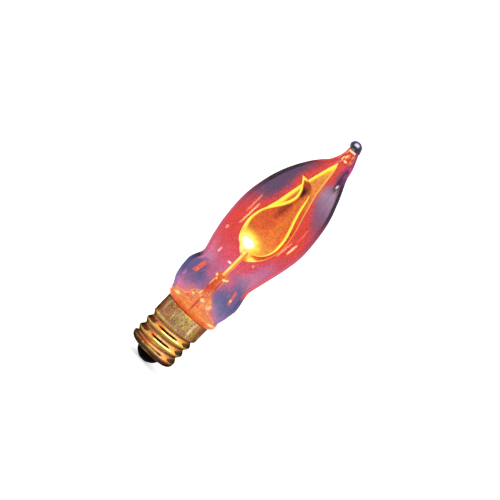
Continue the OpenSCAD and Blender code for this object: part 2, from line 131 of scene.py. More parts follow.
def colourBands(tree, value, stops):  # stops: (value, colour), rising
    low, high = stops[0][0], stops[-1][0]
    ramp = put(tree, "ShaderNodeValToRGB")
    place = put(tree, "ShaderNodeMapRange", {"Value": value, "From Min": low, "From Max": high}).outputs[0]
    tree.links.new(place, ramp.inputs[0])
    edges = ramp.color_ramp.elements
    while len(edges) < len(stops):
        edges.new(0.5)
    for edge, (at, colour) in zip(edges, stops):
        edge.position = (at - low) / (high - low)
        edge.color = colour
    return ramp.outputs[0]


def valueBands(tree, value, stops):
    return colourBands(tree, value, [(at, (v, v, v, 1)) for at, v in stops])


def newGroup(name, kind, inputs, outputs):
    group = bpy.data.node_groups.new(name, kind)
    for label, socket, value in inputs:
        made = group.interface.new_socket(label, in_out="INPUT", socket_type="NodeSocket" + socket)
        if value is not None:
            made.default_value = value
    for label, socket in outputs:
        group.interface.new_socket(label, in_out="OUTPUT", socket_type="NodeSocket" + socket)
    return group, group.nodes.new("NodeGroupInput").outputs, group.nodes.new("NodeGroupOutput").inputs


def makeGrainGroup():  # fine speckle with a soft cloud under it
    group, given, out = newGroup(
        "surfaceGrain", "ShaderNodeTree",
        [("Speckle Scale", "Float", 2600.0), ("Cloud Scale", "Float", 260.0), ("Speckle Share", "Float", 0.5)],
        [("Value", "Float"), ("Height", "Float")])
    place = put(group, "ShaderNodeTexCoord").outputs["Object"]
    speckle = put(group, "ShaderNodeTexNoise", {"Vector": place, "Scale": given["Speckle Scale"], "Detail": 3.0,
                                                "Roughness": 0.6}).outputs["Fac"]
    cloud = put(group, "ShaderNodeTexNoise", {"Vector": place, "Scale": given["Cloud Scale"], "Detail": 2.0}).outputs["Fac"]
    both = put(group, "ShaderNodeMix", {0: given["Speckle Share"], 2: cloud, 3: speckle}, data_type="FLOAT").outputs[0]
    group.links.new(both, out["Value"])
    group.links.new(speckle, out["Height"])
    return group


def makeHeightGroup():  # place on the lamp in millimetres, with the height stirred a little
    group, given, out = newGroup(
        "lampPlace", "ShaderNodeTree", [("Stir", "Float", 0.0), ("Stir Scale", "Float", 180.0)],
        [("X", "Float"), ("Y", "Float"), ("Z", "Float"), ("Stirred Z", "Float")])
    place = put(group, "ShaderNodeTexCoord").outputs["Object"]
    parts = put(group, "ShaderNodeSeparateXYZ", {0: place}).outputs
    noise = put(group, "ShaderNodeTexNoise", {"Vector": place, "Scale": given["Stir Scale"], "Detail": 2.0}).outputs["Fac"]
    for label in "XYZ":
        group.links.new(maths(group, "MULTIPLY", parts[label], 1000.0), out[label])
    shift = maths(group, "MULTIPLY", maths(group, "SUBTRACT", noise, 0.5), given["Stir"])
    group.links.new(maths(group, "ADD", maths(group, "MULTIPLY", parts["Z"], 1000.0), shift), out["Stirred Z"])
    return group


def makeFleckGroup():  # adds fine flecks of each primary colour
    group, given, out = newGroup(
        "colourFlecks", "ShaderNodeTree",
        [("Colour", "Color", (1, 1, 1, 1)), ("Scale", "Float", 2500.0), ("Red", "Float", 0.5), ("Green", "Float", 0.1),
         ("Blue", "Float", 0.2)], [("Colour", "Color")])
    fleck = put(group, "ShaderNodeTexNoise", {"Vector": put(group, "ShaderNodeTexCoord").outputs["Object"],
                                              "Scale": given["Scale"], "Detail": 1.0}).outputs["Color"]
    shares = put(group, "ShaderNodeCombineXYZ", {0: given["Red"], 1: given["Green"], 2: given["Blue"]}).outputs[0]
    shift = put(group, "ShaderNodeVectorMath", {0: fleck, 1: (0.5, 0.5, 0.5)}, operation="SUBTRACT").outputs[0]
    shift = put(group, "ShaderNodeVectorMath", {0: shift, 1: shares}, operation="MULTIPLY").outputs[0]
    bright = put(group, "ShaderNodeSeparateColor", {0: given["Colour"]}).outputs[0]
    power = put(group, "ShaderNodeMapRange", {"Value": bright, "From Max": 0.5, "To Min": 0.4, "To Max": 1.0}).outputs[0]
    shift = put(group, "ShaderNodeVectorMath", {0: shift, "Scale": power}, operation="SCALE").outputs[0]
    total = put(group, "ShaderNodeVectorMath", {0: shift, 1: given["Colour"]}, operation="ADD").outputs[0]
    group.links.new(put(group, "ShaderNodeVectorMath", {0: total, 1: (0.002, 0.002, 0.002)}, operation="MAXIMUM").outputs[0],
                    out["Colour"])
    return group


def makeSpotGroup():  # an oval spot: distance from its centre in its own half sizes, and a soft mask
    group, given, out = newGroup(
        "ovalSpot", "ShaderNodeTree",
        [("X", "Float", 0.0), ("Z", "Float", 0.0), ("Centre X", "Float", 0.0), ("Centre Z", "Float", 0.0),
         ("Half Width", "Float", 1.0), ("Half Height", "Float", 1.0), ("Softness", "Float", 0.5)],
        [("Distance", "Float"), ("Mask", "Float")])
    across = maths(group, "DIVIDE", maths(group, "SUBTRACT", given["X"], given["Centre X"]), given["Half Width"])
    along = maths(group, "DIVIDE", maths(group, "SUBTRACT", given["Z"], given["Centre Z"]), given["Half Height"])
    away = maths(group, "SQRT", maths(group, "ADD", maths(group, "MULTIPLY", across, across), maths(group, "MULTIPLY", along, along)))
    group.links.new(away, out["Distance"])
    group.links.new(ease(group, away, maths(group, "ADD", 1.0, given["Softness"]), maths(group, "SUBTRACT", 1.0, given["Softness"])),
                    out["Mask"])
    return group


def makeSpeckleGroup():  # darkens and brightens a colour by a grain value
    group, given, out = newGroup(
        "speckledColour", "ShaderNodeTree",
        [("Colour", "Color", (1, 1, 1, 1)), ("Grain", "Float", 0.5), ("Low", "Float", 0.84), ("High", "Float", 1.16)],
        [("Colour", "Color")])
    level = put(group, "ShaderNodeMapRange", {"Value": given["Grain"], "From Min": 0.35, "From Max": 0.65, "To Min": given["Low"],
                                              "To Max": given["High"]}).outputs[0]
    grey = put(group, "ShaderNodeCombineColor", {0: level, 1: level, 2: level}).outputs[0]
    group.links.new(mixColour(group, 1.0, given["Colour"], grey, "MULTIPLY"), out["Colour"])
    return group


def makeSideGroup():  # -1 where the surface faces the lamp's left, 1 where it faces its right, by the glow's own turn
    group, given, out = newGroup("lampSide", "ShaderNodeTree", [("Turn", "Float", 0.0)], [("Side", "Float")])
    normal = put(group, "ShaderNodeSeparateXYZ", {0: put(group, "ShaderNodeTexCoord").outputs["Normal"]}).outputs
    level = put(group, "ShaderNodeCombineXYZ", {0: normal["X"], 1: normal["Y"], 2: 0.0}).outputs[0]
    level = put(group, "ShaderNodeVectorMath", {0: level}, operation="NORMALIZE").outputs[0]
    across = put(group, "ShaderNodeCombineXYZ", {0: maths(group, "COSINE", given["Turn"]), 1: maths(group, "SINE", given["Turn"])}).outputs[0]
    group.links.new(put(group, "ShaderNodeVectorMath", {0: level, 1: across}, operation="DOT_PRODUCT").outputs["Value"], out["Side"])
    return group


grainGroup, heightGroup = makeGrainGroup(), makeHeightGroup()
fleckGroup, spotGroup, sideGroup, speckleGroup = makeFleckGroup(), makeSpotGroup(), makeSideGroup(), makeSpeckleGroup()


def grain(tree, speckle=2600.0, cloud=260.0, share=0.5):
    return put(tree, "ShaderNodeGroup", node_tree=grainGroup, values={
        "Speckle Scale": speckle, "Cloud Scale": cloud, "Speckle Share": share}).outputs


def lampPlace(tree, stir=0.0, scale=180.0):
    return put(tree, "ShaderNodeGroup", node_tree=heightGroup, values={"Stir": stir, "Stir Scale": scale}).outputs


def flecked(tree, colour, red, green, blue, scale=2500.0):
    return put(tree, "ShaderNodeGroup", node_tree=fleckGroup, values={
        "Colour": colour, "Red": red, "Green": green, "Blue": blue, "Scale": scale}).outputs[0]


def speckled(tree, colour, fine, low=0.84, high=1.16):
    return put(tree, "ShaderNodeGroup", node_tree=speckleGroup, values={
        "Colour": colour, "Grain": fine["Value"], "Low": low, "High": high}).outputs[0]


def spot(tree, place, centre, size, soft=0.5):
    return put(tree, "ShaderNodeGroup", node_tree=spotGroup, values={
        "X": place["X"], "Z": place["Z"], "Centre X": centre[0], "Centre Z": centre[1], "Half Width": size[0],
        "Half Height": size[1], "Softness": soft}).outputs


def newMaterial(name):
    material = bpy.data.materials.new(name)
    material.use_nodes = True
    tree = material.node_tree
    tree.nodes.clear()
    return material, tree, tree.nodes.new("ShaderNodeOutputMaterial").inputs["Surface"]


def relief(tree, height, strength, distance):
    return put(tree, "ShaderNodeBump", {"Height": height, "Strength": strength, "Distance": distance}).outputs[0]


def plainFinish(name, colourA, colourB, metallic, rough, speckle=2600.0, cloud=260.0, bump=0.1, coat=0.0, gloss=0.5):
    material, tree, surface = newMaterial(name)
    fine = grain(tree, speckle, cloud)
    colour = mixColour(tree, ease(tree, fine["Value"], 0.3, 0.7), colourA, colourB)
    roughness = put(tree, "ShaderNodeMapRange", {"Value": fine["Value"], "From Min": 0.3, "From Max": 0.7,
                                                 "To Min": rough * 0.85, "To Max": min(rough * 1.15, 1.0)}).outputs[0]
    shader = put(tree, "ShaderNodeBsdfPrincipled", {
        "Base Color": colour, "Metallic": metallic, "Roughness": roughness, "Coat Weight": coat, "Specular IOR Level": gloss,
        "Normal": relief(tree, fine["Height"], bump, 0.02 * mm)})
    tree.links.new(shader.outputs[0], surface)
    return material


# Geometry Nodes: a turned piece, a drawn wire, and the distance of a plate's faces from its rim
def makeTurnedTree():
    tree, given, out = newGroup(
        "turnedPiece", "GeometryNodeTree",
        [("Profile", "Geometry", None), ("Sides", "Int", 96), ("Depth Share", "Float", 1.0),
         ("Wave Depth", "Float", 0.0), ("Wave Pitch", "Float", 0.00254), ("Wave Foot", "Float", 0.0),
         ("Wave Top", "Float", 1.0), ("Foot Fade", "Float", 0.0005), ("Top Fade", "Float", 0.001),
         ("Crest Rise", "Float", 0.0), ("Crest Turn", "Float", 0.0), ("Finish", "Material", None)],
        [("Geometry", "Geometry")])
    rings = put(tree, "GeometryNodeAttributeDomainSize", {0: given["Profile"]}, component="MESH").outputs["Point Count"]
    columns = maths(tree, "ADD", given["Sides"], 1.0)
    sheet = put(tree, "GeometryNodeMeshGrid", {"Vertices X": columns, "Vertices Y": rings}).outputs["Mesh"]
    index = put(tree, "GeometryNodeInputIndex").outputs[0]
    ring = maths(tree, "MODULO", index, rings)
    column = maths(tree, "FLOOR", maths(tree, "DIVIDE", index, rings))
    spot = put(tree, "GeometryNodeSampleIndex", {
        "Geometry": given["Profile"], "Value": put(tree, "GeometryNodeInputPosition").outputs[0], "Index": ring},
        data_type="FLOAT_VECTOR").outputs[0]
    radius, shift, height = put(tree, "ShaderNodeSeparateXYZ", {0: spot}).outputs
    angle = maths(tree, "MULTIPLY", maths(tree, "DIVIDE", column, given["Sides"]), 2 * math.pi)
    climb = maths(tree, "SUBTRACT", maths(tree, "SUBTRACT", height, given["Wave Foot"]), given["Crest Rise"])
    phase = maths(tree, "MULTIPLY", maths(tree, "DIVIDE", climb, given["Wave Pitch"]), 2 * math.pi)
    phase = maths(tree, "ADD", maths(tree, "SUBTRACT", phase, angle), given["Crest Turn"])
    trough = maths(tree, "MULTIPLY", maths(tree, "SUBTRACT", 1.0, maths(tree, "COSINE", phase)), 0.5)
    fadeIn = ease(tree, height, given["Wave Foot"], maths(tree, "ADD", given["Wave Foot"], given["Foot Fade"]))
    fadeOut = ease(tree, height, given["Wave Top"], maths(tree, "SUBTRACT", given["Wave Top"], given["Top Fade"]))
    wave = maths(tree, "MULTIPLY", maths(tree, "MULTIPLY", given["Wave Depth"], trough), maths(tree, "MINIMUM", fadeIn, fadeOut))
    reach = maths(tree, "SUBTRACT", radius, wave)
    east = maths(tree, "ADD", shift, maths(tree, "MULTIPLY", reach, maths(tree, "COSINE", angle)))
    north = maths(tree, "MULTIPLY", maths(tree, "MULTIPLY", reach, maths(tree, "SINE", angle)), given["Depth Share"])
    place = put(tree, "ShaderNodeCombineXYZ", {0: east, 1: north, 2: height}).outputs[0]
    shape = put(tree, "GeometryNodeSetPosition", {"Geometry": sheet, "Position": place}).outputs[0]
    shape = put(tree, "GeometryNodeMergeByDistance", {"Geometry": shape, "Distance": 0.4e-6}).outputs[0]
    shape = put(tree, "GeometryNodeRealizeInstances", {"Geometry": shape}).outputs[0]
    shape = put(tree, "GeometryNodeSetMaterial", {"Geometry": shape, "Material": given["Finish"]}).outputs[0]
    tree.links.new(shape, out["Geometry"])
    return tree


def makeWireTree():
    tree, given, out = newGroup(
        "drawnWire", "GeometryNodeTree",
        [("Path", "Geometry", None), ("Radius", "Float", 0.0002), ("Sides", "Int", 16), ("Finish", "Material", None)],
        [("Geometry", "Geometry")])
    curve = put(tree, "GeometryNodeMeshToCurve", {0: given["Path"]}).outputs[0]
    ring = put(tree, "GeometryNodeCurvePrimitiveCircle", {"Resolution": given["Sides"], "Radius": given["Radius"]}).outputs[0]
    shape = put(tree, "GeometryNodeCurveToMesh", {"Curve": curve, "Profile Curve": ring, "Fill Caps": True}).outputs[0]
    shape = put(tree, "GeometryNodeRealizeInstances", {"Geometry": shape}).outputs[0]
    shape = put(tree, "GeometryNodeSetMaterial", {"Geometry": shape, "Material": given["Finish"]}).outputs[0]
    tree.links.new(shape, out["Geometry"])
    return tree


def makeRimTree():
    tree, given, out = newGroup(
        "plateRim", "GeometryNodeTree", [("Plate", "Geometry", None), ("Edge Slope", "Float", 0.5), ("Finish", "Material", None)],
        [("Geometry", "Geometry")])
    normal = put(tree, "GeometryNodeInputNormal").outputs[0]
    facing = maths(tree, "ABSOLUTE", put(tree, "ShaderNodeSeparateXYZ", {0: normal}).outputs["Y"])
    onEdge = maths(tree, "LESS_THAN", facing, given["Edge Slope"])
    rim = put(tree, "GeometryNodeSeparateGeometry", {"Geometry": given["Plate"], "Selection": onEdge}, domain="FACE").outputs[0]
    away = put(tree, "GeometryNodeProximity", {0: rim}, target_element="FACES").outputs["Distance"]
    shape = put(tree, "GeometryNodeStoreNamedAttribute", {
        "Geometry": given["Plate"], "Name": "rimDistance", "Value": maths(tree, "MULTIPLY", away, 1000.0)},
        data_type="FLOAT", domain="POINT").outputs[0]
    shape = put(tree, "GeometryNodeRealizeInstances", {"Geometry": shape}).outputs[0]
    shape = put(tree, "GeometryNodeSetMaterial", {"Geometry": shape, "Material": given["Finish"]}).outputs[0]
    tree.links.new(shape, out["Geometry"])
    return tree


turnedTree, wireTree, rimTree = makeTurnedTree(), makeWireTree(), makeRimTree()


def grown(name, source, tree, values):  # runs a Geometry Nodes tree on a mesh and keeps its result as a plain mesh
    seed = bpy.data.objects.new(name + "Seed", source)
    scene.collection.objects.link(seed)
    modifier = seed.modifiers.new("grow", "NODES")
    modifier.node_group = tree
    for item in tree.interface.items_tree:
        if item.in_out == "INPUT" and item.name in values:
            modifier[item.identifier] = values[item.name]
    ready = seed.evaluated_get(bpy.context.evaluated_depsgraph_get())
    mesh = bpy.data.meshes.new_from_object(ready, preserve_all_data_layers=True, depsgraph=bpy.context.evaluated_depsgraph_get())
    seed.modifiers.remove(modifier)
    bpy.data.objects.remove(seed)
    mesh.name = name
    return mesh


def chain(points):  # a row of points joined by edges
    mesh = bpy.data.meshes.new("chain")
    mesh.from_pydata([tuple(p) for p in points], [(i, i + 1) for i in range(len(points) - 1)], [])
    return mesh


def turned(name, profile, finish, sides=96, **values):
    given = {"Sides": sides, "Finish": finish, **values}
    return grown(name, chain(profile), turnedTree, given)


def placed(name, meshes, sharp=None, outward=True):  # joins meshes into one object that rides on the lamp
    work, slots = bmesh.new(), []
    for mesh in meshes:
        first = len(slots)
        slots += list(mesh.materials)
        start = len(work.faces)
        work.from_mesh(mesh)
        work.faces.ensure_lookup_table()
        for face in work.faces[start:]:
            face.material_index += first
    bmesh.ops.remove_doubles(work, verts=work.verts, dist=0.4e-6)
    bmesh.ops.dissolve_degenerate(work, edges=work.edges, dist=0.2e-6)
    if outward:
        bmesh.ops.recalc_face_normals(work, faces=work.faces)
    for face in work.faces:
        face.smooth = True
    joined = bpy.data.meshes.new(name)
    work.to_mesh(joined)
    work.free()
    for material in slots:
        joined.materials.append(material)
    if sharp is not None:
        joined.set_sharp_from_angle(angle=math.radians(sharp))
    piece = bpy.data.objects.new(name, joined)
    scene.collection.objects.link(piece)
    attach(piece, "root")
    return piece


def between(a, b, share):
    return a + (b - a) * share


def smoothLine(points, steps):  # a smooth curve through a row of points
    p = np.array(points, float)
    line = []
    for i in range(len(p) - 1):
        a, b, c, d = p[max(i - 1, 0)], p[i], p[i + 1], p[min(i + 2, len(p) - 1)]
        for k in range(steps):
            t = k / steps
            line.append(0.5 * (2 * b + (c - a) * t + (2 * a - 5 * b + 4 * c - d) * t * t + (3 * b - a - 3 * c + d) * t ** 3))
    return [tuple(q) for q in line] + [tuple(p[-1])]


def arc(centre, radius, start, end, steps=10):
    turns = [math.radians(between(start, end, i / steps)) for i in range(steps + 1)]
    return [(centre[0] + radius * math.cos(t), centre[1] + radius * math.sin(t)) for t in turns]


def upright(points):  # (radius, height) in millimetres as a profile in metres
    return [(r * mm, 0.0, z * mm) for r, z in points]


# Blown glass: the outer wall is clear and glossy, with painted rim colours for the glow and the dark surroundings seen
# at its edges; the inner wall shows the painted glow of the gas only from inside
blownGlass = {"sides": 120, "steps": 3, "gloss": 0.0, "glowLight": 0.93, "wallShare": 0.98,
              "mirror": 0.12, "glowTurn": 15.0, "flecks": (0.5, 0.1, 0.2), "lipReflections": ((-6.85, 24.1), (3.6, 23.9)), "lipReflectionSize": (0.4, 1.7), "lipReflectionGlint": (3.75, 23.2),
              "paintedNeckGlints": [((2.1, 66.0), (0.42, 0.28)), ((1.4, 67.0), (0.17, 0.5)), ((1.0, 66.3), (0.15, 0.55))],
              "trim": [(44.0, 0.0), (52.0, 0.14), (58.0, 0.24), (62.0, 0.3), (67.0, 0.28), (68.8, 0.1), (71.0, 0.0)]}
wallMiddle = [  # height in millimetres and the colour painted on the far wall for the gas's glow and the dark surroundings seen through the glass, round the plates and the press
    (16.5, (236, 120, 70)), (18.4, (222, 116, 112)), (20.5, (160, 100, 146)), (22.4, (140, 92, 140)), (24.6, (184, 94, 130)), (27.0, (198, 94, 134)),
    (30.0, (216, 76, 98)), (34.0, (220, 62, 68)), (38.0, (224, 58, 46)), (46.0, (222, 58, 42)), (56.0, (222, 58, 44)),
    (60.0, (218, 60, 54)), (68.0, (226, 66, 50))]
wallLeft = [  # the same at the left side
    (16.5, (226, 110, 120)), (18.6, (210, 122, 158)), (20.2, (140, 96, 146)), (22.0, (96, 84, 134)), (25.4, (98, 80, 134)),
    (27.0, (196, 116, 156)), (29.5, (212, 112, 146)), (33.0, (220, 80, 88)), (37.0, (220, 62, 60)), (41.0, (214, 58, 60)),
    (44.0, (184, 60, 78)), (46.5, (118, 62, 92)), (49.0, (92, 62, 98)), (57.5, (94, 62, 92)), (60.5, (150, 52, 74)),
    (63.5, (206, 56, 62)), (68.0, (220, 62, 54))]
wallRight = [  # and at the right side
    (16.5, (226, 110, 120)), (18.6, (176, 122, 162)), (20.2, (118, 108, 158)), (22.0, (94, 90, 140)), (26.6, (112, 92, 142)),
    (28.6, (156, 108, 150)), (30.5, (200, 114, 152)), (34.0, (196, 104, 148)), (37.5, (206, 72, 90)), (43.0, (216, 58, 58)),
    (46.5, (196, 60, 78)), (50.0, (138, 70, 100)), (53.0, (136, 92, 128)), (56.6, (160, 134, 158)), (60.0, (136, 64, 88)),
    (65.0, (140, 48, 104)), (68.0, (212, 56, 76))]
haloLeft = [  # height, and how far the middle colour reaches to the left
    (17.0, 0.7), (19.0, 0.6), (20.4, 0.34), (22.5, 0.3), (25.0, 0.5), (28.0, 0.6), (31.0, 0.85), (36.0, 1.0), (40.0, 1.0), (42.0, 0.84), (45.0, 0.66),
    (48.0, 0.52), (52.0, 0.5), (56.0, 0.64), (61.0, 0.6), (64.0, 0.8), (66.0, 1.3)]
haloRight = [  # and to the right
    (17.0, 0.7), (19.0, 0.64), (20.4, 0.34), (22.5, 0.3), (25.0, 0.58), (27.0, 0.54), (28.5, 0.38), (31.0, 0.6), (36.0, 0.72), (41.0, 0.92), (44.0, 0.94), (47.5, 0.82),
    (50.0, 0.6), (53.5, 0.36), (58.0, 0.3), (60.0, 0.55), (61.5, 0.45), (66.0, 0.5)]
paintedRimLeft = [  # height, the colour painted at the rim for the glow and the dark surroundings seen there, and how near the rim it starts, at the left side
    (17.0, (176, 112, 176), 0.55), (20.5, (130, 104, 160), 0.52), (22.6, (80, 74, 128), 0.5), (24.6, (78, 70, 120), 0.49),
    (27.2, (30, 26, 54), 0.47), (28.8, (190, 92, 130), 0.5), (33.0, (214, 82, 104), 0.52), (41.0, (206, 66, 84), 0.52),
    (44.5, (156, 62, 90), 0.52), (48.5, (84, 40, 60), 0.52), (51.5, (40, 20, 32), 0.5), (58.0, (38, 18, 28), 0.5), (61.0, (100, 28, 40), 0.5),
    (63.0, (200, 54, 58), 0.32), (65.0, (206, 56, 58), 0.2), (68.0, (214, 60, 54), 0.2)]
paintedRimRight = [  # and at the right side
    (17.0, (176, 112, 176), 0.55), (20.5, (130, 104, 160), 0.52), (22.6, (96, 88, 134), 0.49), (26.0, (78, 70, 118), 0.48),
    (27.6, (226, 80, 60), 0.5), (31.0, (222, 96, 120), 0.5), (42.0, (204, 74, 96), 0.52), (48.0, (162, 60, 84), 0.52),
    (53.0, (64, 24, 44), 0.5), (57.0, (30, 18, 38), 0.47), (61.0, (28, 18, 42), 0.42), (63.0, (110, 40, 100), 0.32),
    (65.0, (190, 52, 100), 0.2), (68.0, (214, 60, 84), 0.2)]


def stops(bands):
    return [(row[0], tone(*row[1])) for row in bands]


def sideways(tree, setup):  # -1 at the left, 1 at the right, by the way that the surface faces
    return put(tree, "ShaderNodeGroup", node_tree=sideGroup, values={"Turn": math.radians(setup["glowTurn"])}).outputs[0]


def dimmed(tree, colour, value):
    return mixColour(tree, 1.0, colour, put(tree, "ShaderNodeCombineColor", {0: value, 1: value, 2: value}).outputs[0], "MULTIPLY")


def makeOuterGlass(setup):
    material, tree, surface = newMaterial("outerGlass")
    place = lampPlace(tree, 0.9, 260.0)
    side = maths(tree, "SUBTRACT", 1.0, put(tree, "ShaderNodeNewGeometry").outputs["Backfacing"])
    facing = put(tree, "ShaderNodeLayerWeight", {"Blend": 0.5}).outputs["Facing"]
    right = ease(tree, sideways(tree, setup), -0.1, 0.1)
    # painted reflection: the rim takes the glow and the dark surroundings seen at the glass's edge, darkest where it is
    # most grazing
    paintedRimColour = mixColour(tree, right, colourBands(tree, place["Stirred Z"], stops(paintedRimLeft)),
                           colourBands(tree, place["Stirred Z"], stops(paintedRimRight)))
    paintedRimColour = mixColour(tree, maths(tree, "MULTIPLY", ease(tree, facing, 0.8, 0.96), 0.7), paintedRimColour, tone(76, 24, 48))
    start = put(tree, "ShaderNodeMix", {0: right, 2: valueBands(tree, place["Z"], [(row[0], row[2]) for row in paintedRimLeft]),
                                        3: valueBands(tree, place["Z"], [(row[0], row[2]) for row in paintedRimRight])},
                data_type="FLOAT").outputs[0]
    paintedRimShare = ease(tree, facing, start, maths(tree, "ADD", start, 0.13))
    stretched = put(tree, "ShaderNodeVectorMath", {0: put(tree, "ShaderNodeTexCoord").outputs["Object"],
                                                   1: (1700.0, 1700.0, 320.0)}, operation="MULTIPLY").outputs[0]
    streak = put(tree, "ShaderNodeTexNoise", {"Vector": stretched, "Scale": 1.0, "Detail": 2.0}).outputs["Fac"]
    # the solid neck: painted glow with pale painted highlights in streaks, and a violet band towards its right
    neck = mixColour(tree, ease(tree, streak, 0.5, 0.64), tone(206, 48, 44), tone(250, 150, 84))
    neck = mixColour(tree, ease(tree, sideways(tree, setup), 0.35, 0.85), neck, tone(150, 40, 100))
    # painted light: a cream band where the neck meets the tip ball
    ring = hump(tree, maths(tree, "ADD", place["Z"], maths(tree, "MULTIPLY", place["X"], -0.12)), 68.15, 68.35, 68.55, 68.8)
    ring = maths(tree, "MULTIPLY", ring, hump(tree, sideways(tree, setup), -0.85, -0.6, 0.35, 0.6))
    neck = mixColour(tree, ring, neck, tone(255, 232, 180))
    ballColour = mixColour(tree, ease(tree, facing, 0.3, 0.6), tone(34, 30, 52), tone(98, 72, 122))
    ballColour = mixColour(tree, ease(tree, facing, 0.68, 0.9), ballColour, tone(22, 12, 30))
    tipColour = mixColour(tree, ease(tree, place["Z"], 68.9, 69.1), neck, ballColour)
    solid = ease(tree, place["Z"], 65.0, 66.4)
    across = sideways(tree, setup)
    # a dark band painted down the neck's right side
    rightDarkBand = maths(tree, "MULTIPLY", hump(tree, across, 0.5, 0.64, 0.74, 0.86), hump(tree, place["Stirred Z"], 58.6, 60.4, 64.6, 66.0))
    colour = mixColour(tree, maths(tree, "MULTIPLY", rightDarkBand, 0.85), mixColour(tree, solid, paintedRimColour, tipColour), tone(40, 24, 62))
    share = maths(tree, "MAXIMUM", maths(tree, "MAXIMUM", paintedRimShare, solid), maths(tree, "MULTIPLY", rightDarkBand, 0.8))
    for centre, size in setup["paintedNeckGlints"]:  # painted highlights: bright spots of the glow in the solid neck, at the end of the hollow
        mask = maths(tree, "MULTIPLY", spot(tree, place, centre, size, 0.35)["Mask"], ease(tree, place["Y"], 0.2, -0.2))
        colour = mixColour(tree, mask, colour, tone(255, 232, 150))
        share = maths(tree, "MAXIMUM", share, mask)
    colour = flecked(tree, colour, 0.12, 0.04, 0.07)
    share = maths(tree, "MULTIPLY", maths(tree, "MULTIPLY", share, 0.98), side)
    # the outer wall's painted glow, painted rim colours and painted highlights, shown by emission
    paintedGlowAndRim = put(tree, "ShaderNodeBsdfPrincipled", {
        "Base Color": dimmed(tree, colour, 0.25), "Roughness": 0.6, "Specular IOR Level": 0.0, "Emission Color": colour,
        "Emission Strength": setup["glowLight"]})
    clear = put(tree, "ShaderNodeBsdfTransparent", {"Color": (1, 1, 1, 1)})
    body = put(tree, "ShaderNodeMixShader", {0: share, 1: clear.outputs[0], 2: paintedGlowAndRim.outputs[0]})
    mirror = put(tree, "ShaderNodeBsdfAnisotropic", {"Color": (1, 1, 1, 1), "Roughness": setup["gloss"]})
    shine = maths(tree, "MULTIPLY", side, setup["mirror"])
    whole = put(tree, "ShaderNodeMixShader", {0: shine, 1: body.outputs[0], 2: mirror.outputs[0]})
    tree.links.new(whole.outputs[0], surface)
    return material


def makeInnerGlow(setup):
    material, tree, surface = newMaterial("innerGlow")
    place = lampPlace(tree, 3.0, 170.0)
    fine = grain(tree, 2600.0, 700.0, 0.6)
    across = maths(tree, "SUBTRACT", maths(tree, "MULTIPLY", maths(tree, "SUBTRACT", fine["Height"], 0.5), 0.4), sideways(tree, setup))
    flank = mixColour(tree, ease(tree, across, -0.15, 0.15), colourBands(tree, place["Stirred Z"], stops(wallLeft)),
                      colourBands(tree, place["Stirred Z"], stops(wallRight)))
    reachLeft = maths(tree, "MULTIPLY", valueBands(tree, place["Z"], haloLeft), -1.0)
    reachRight = valueBands(tree, place["Z"], haloRight)
    middle = maths(tree, "MULTIPLY", ease(tree, across, maths(tree, "SUBTRACT", reachLeft, 0.16), maths(tree, "ADD", reachLeft, 0.16)),
                   ease(tree, across, maths(tree, "ADD", reachRight, 0.16), maths(tree, "SUBTRACT", reachRight, 0.16)))
    colour = mixColour(tree, middle, flank, colourBands(tree, place["Stirred Z"], stops(wallMiddle)))
    for centre in setup["lipReflections"]:  # painted reflections of the lip's glow in the bulge
        lean = maths(tree, "MULTIPLY", maths(tree, "SUBTRACT", place["Z"], centre[1]), 0.2 if centre[0] > 0 else -0.13)
        sideStep = maths(tree, "ABSOLUTE", maths(tree, "SUBTRACT", maths(tree, "ADD", place["X"], lean), centre[0]))
        step = maths(tree, "ABSOLUTE", maths(tree, "SUBTRACT", place["Z"], centre[1]))
        lipReflection = maths(tree, "MULTIPLY", ease(tree, sideStep, setup["lipReflectionSize"][0] * 1.45, setup["lipReflectionSize"][0] * 0.6),
                      ease(tree, step, setup["lipReflectionSize"][1] * 1.2, setup["lipReflectionSize"][1] * 0.75))
        colour = mixColour(tree, maths(tree, "MULTIPLY", lipReflection, 0.92), colour, tone(242, 94, 62))
    # painted highlight at the foot of the right reflection
    colour = mixColour(tree, spot(tree, place, setup["lipReflectionGlint"], (0.3, 0.4), 0.4)["Mask"], colour, tone(255, 206, 150))
    colour = flecked(tree, speckled(tree, colour, fine, 0.84, 1.14), *setup["flecks"])
    rays = put(tree, "ShaderNodeLightPath").outputs
    seen = maths(tree, "MAXIMUM", maths(tree, "MAXIMUM", rays["Is Camera Ray"], rays["Is Glossy Ray"]), rays["Is Transmission Ray"])
    side = maths(tree, "SUBTRACT", 1.0, put(tree, "ShaderNodeNewGeometry").outputs["Backfacing"])
    share = maths(tree, "MULTIPLY", maths(tree, "MULTIPLY", side, seen), setup["wallShare"])
    glow = put(tree, "ShaderNodeBsdfPrincipled", {
        "Base Color": dimmed(tree, colour, 0.25), "Roughness": 0.6, "Specular IOR Level": 0.0, "Emission Color": colour,
        "Emission Strength": setup["glowLight"]})
    clear = put(tree, "ShaderNodeBsdfTransparent", {"Color": (1, 1, 1, 1)})
    whole = put(tree, "ShaderNodeMixShader", {0: share, 1: clear.outputs[0], 2: glow.outputs[0]})
    tree.links.new(whole.outputs[0], surface)
    return material


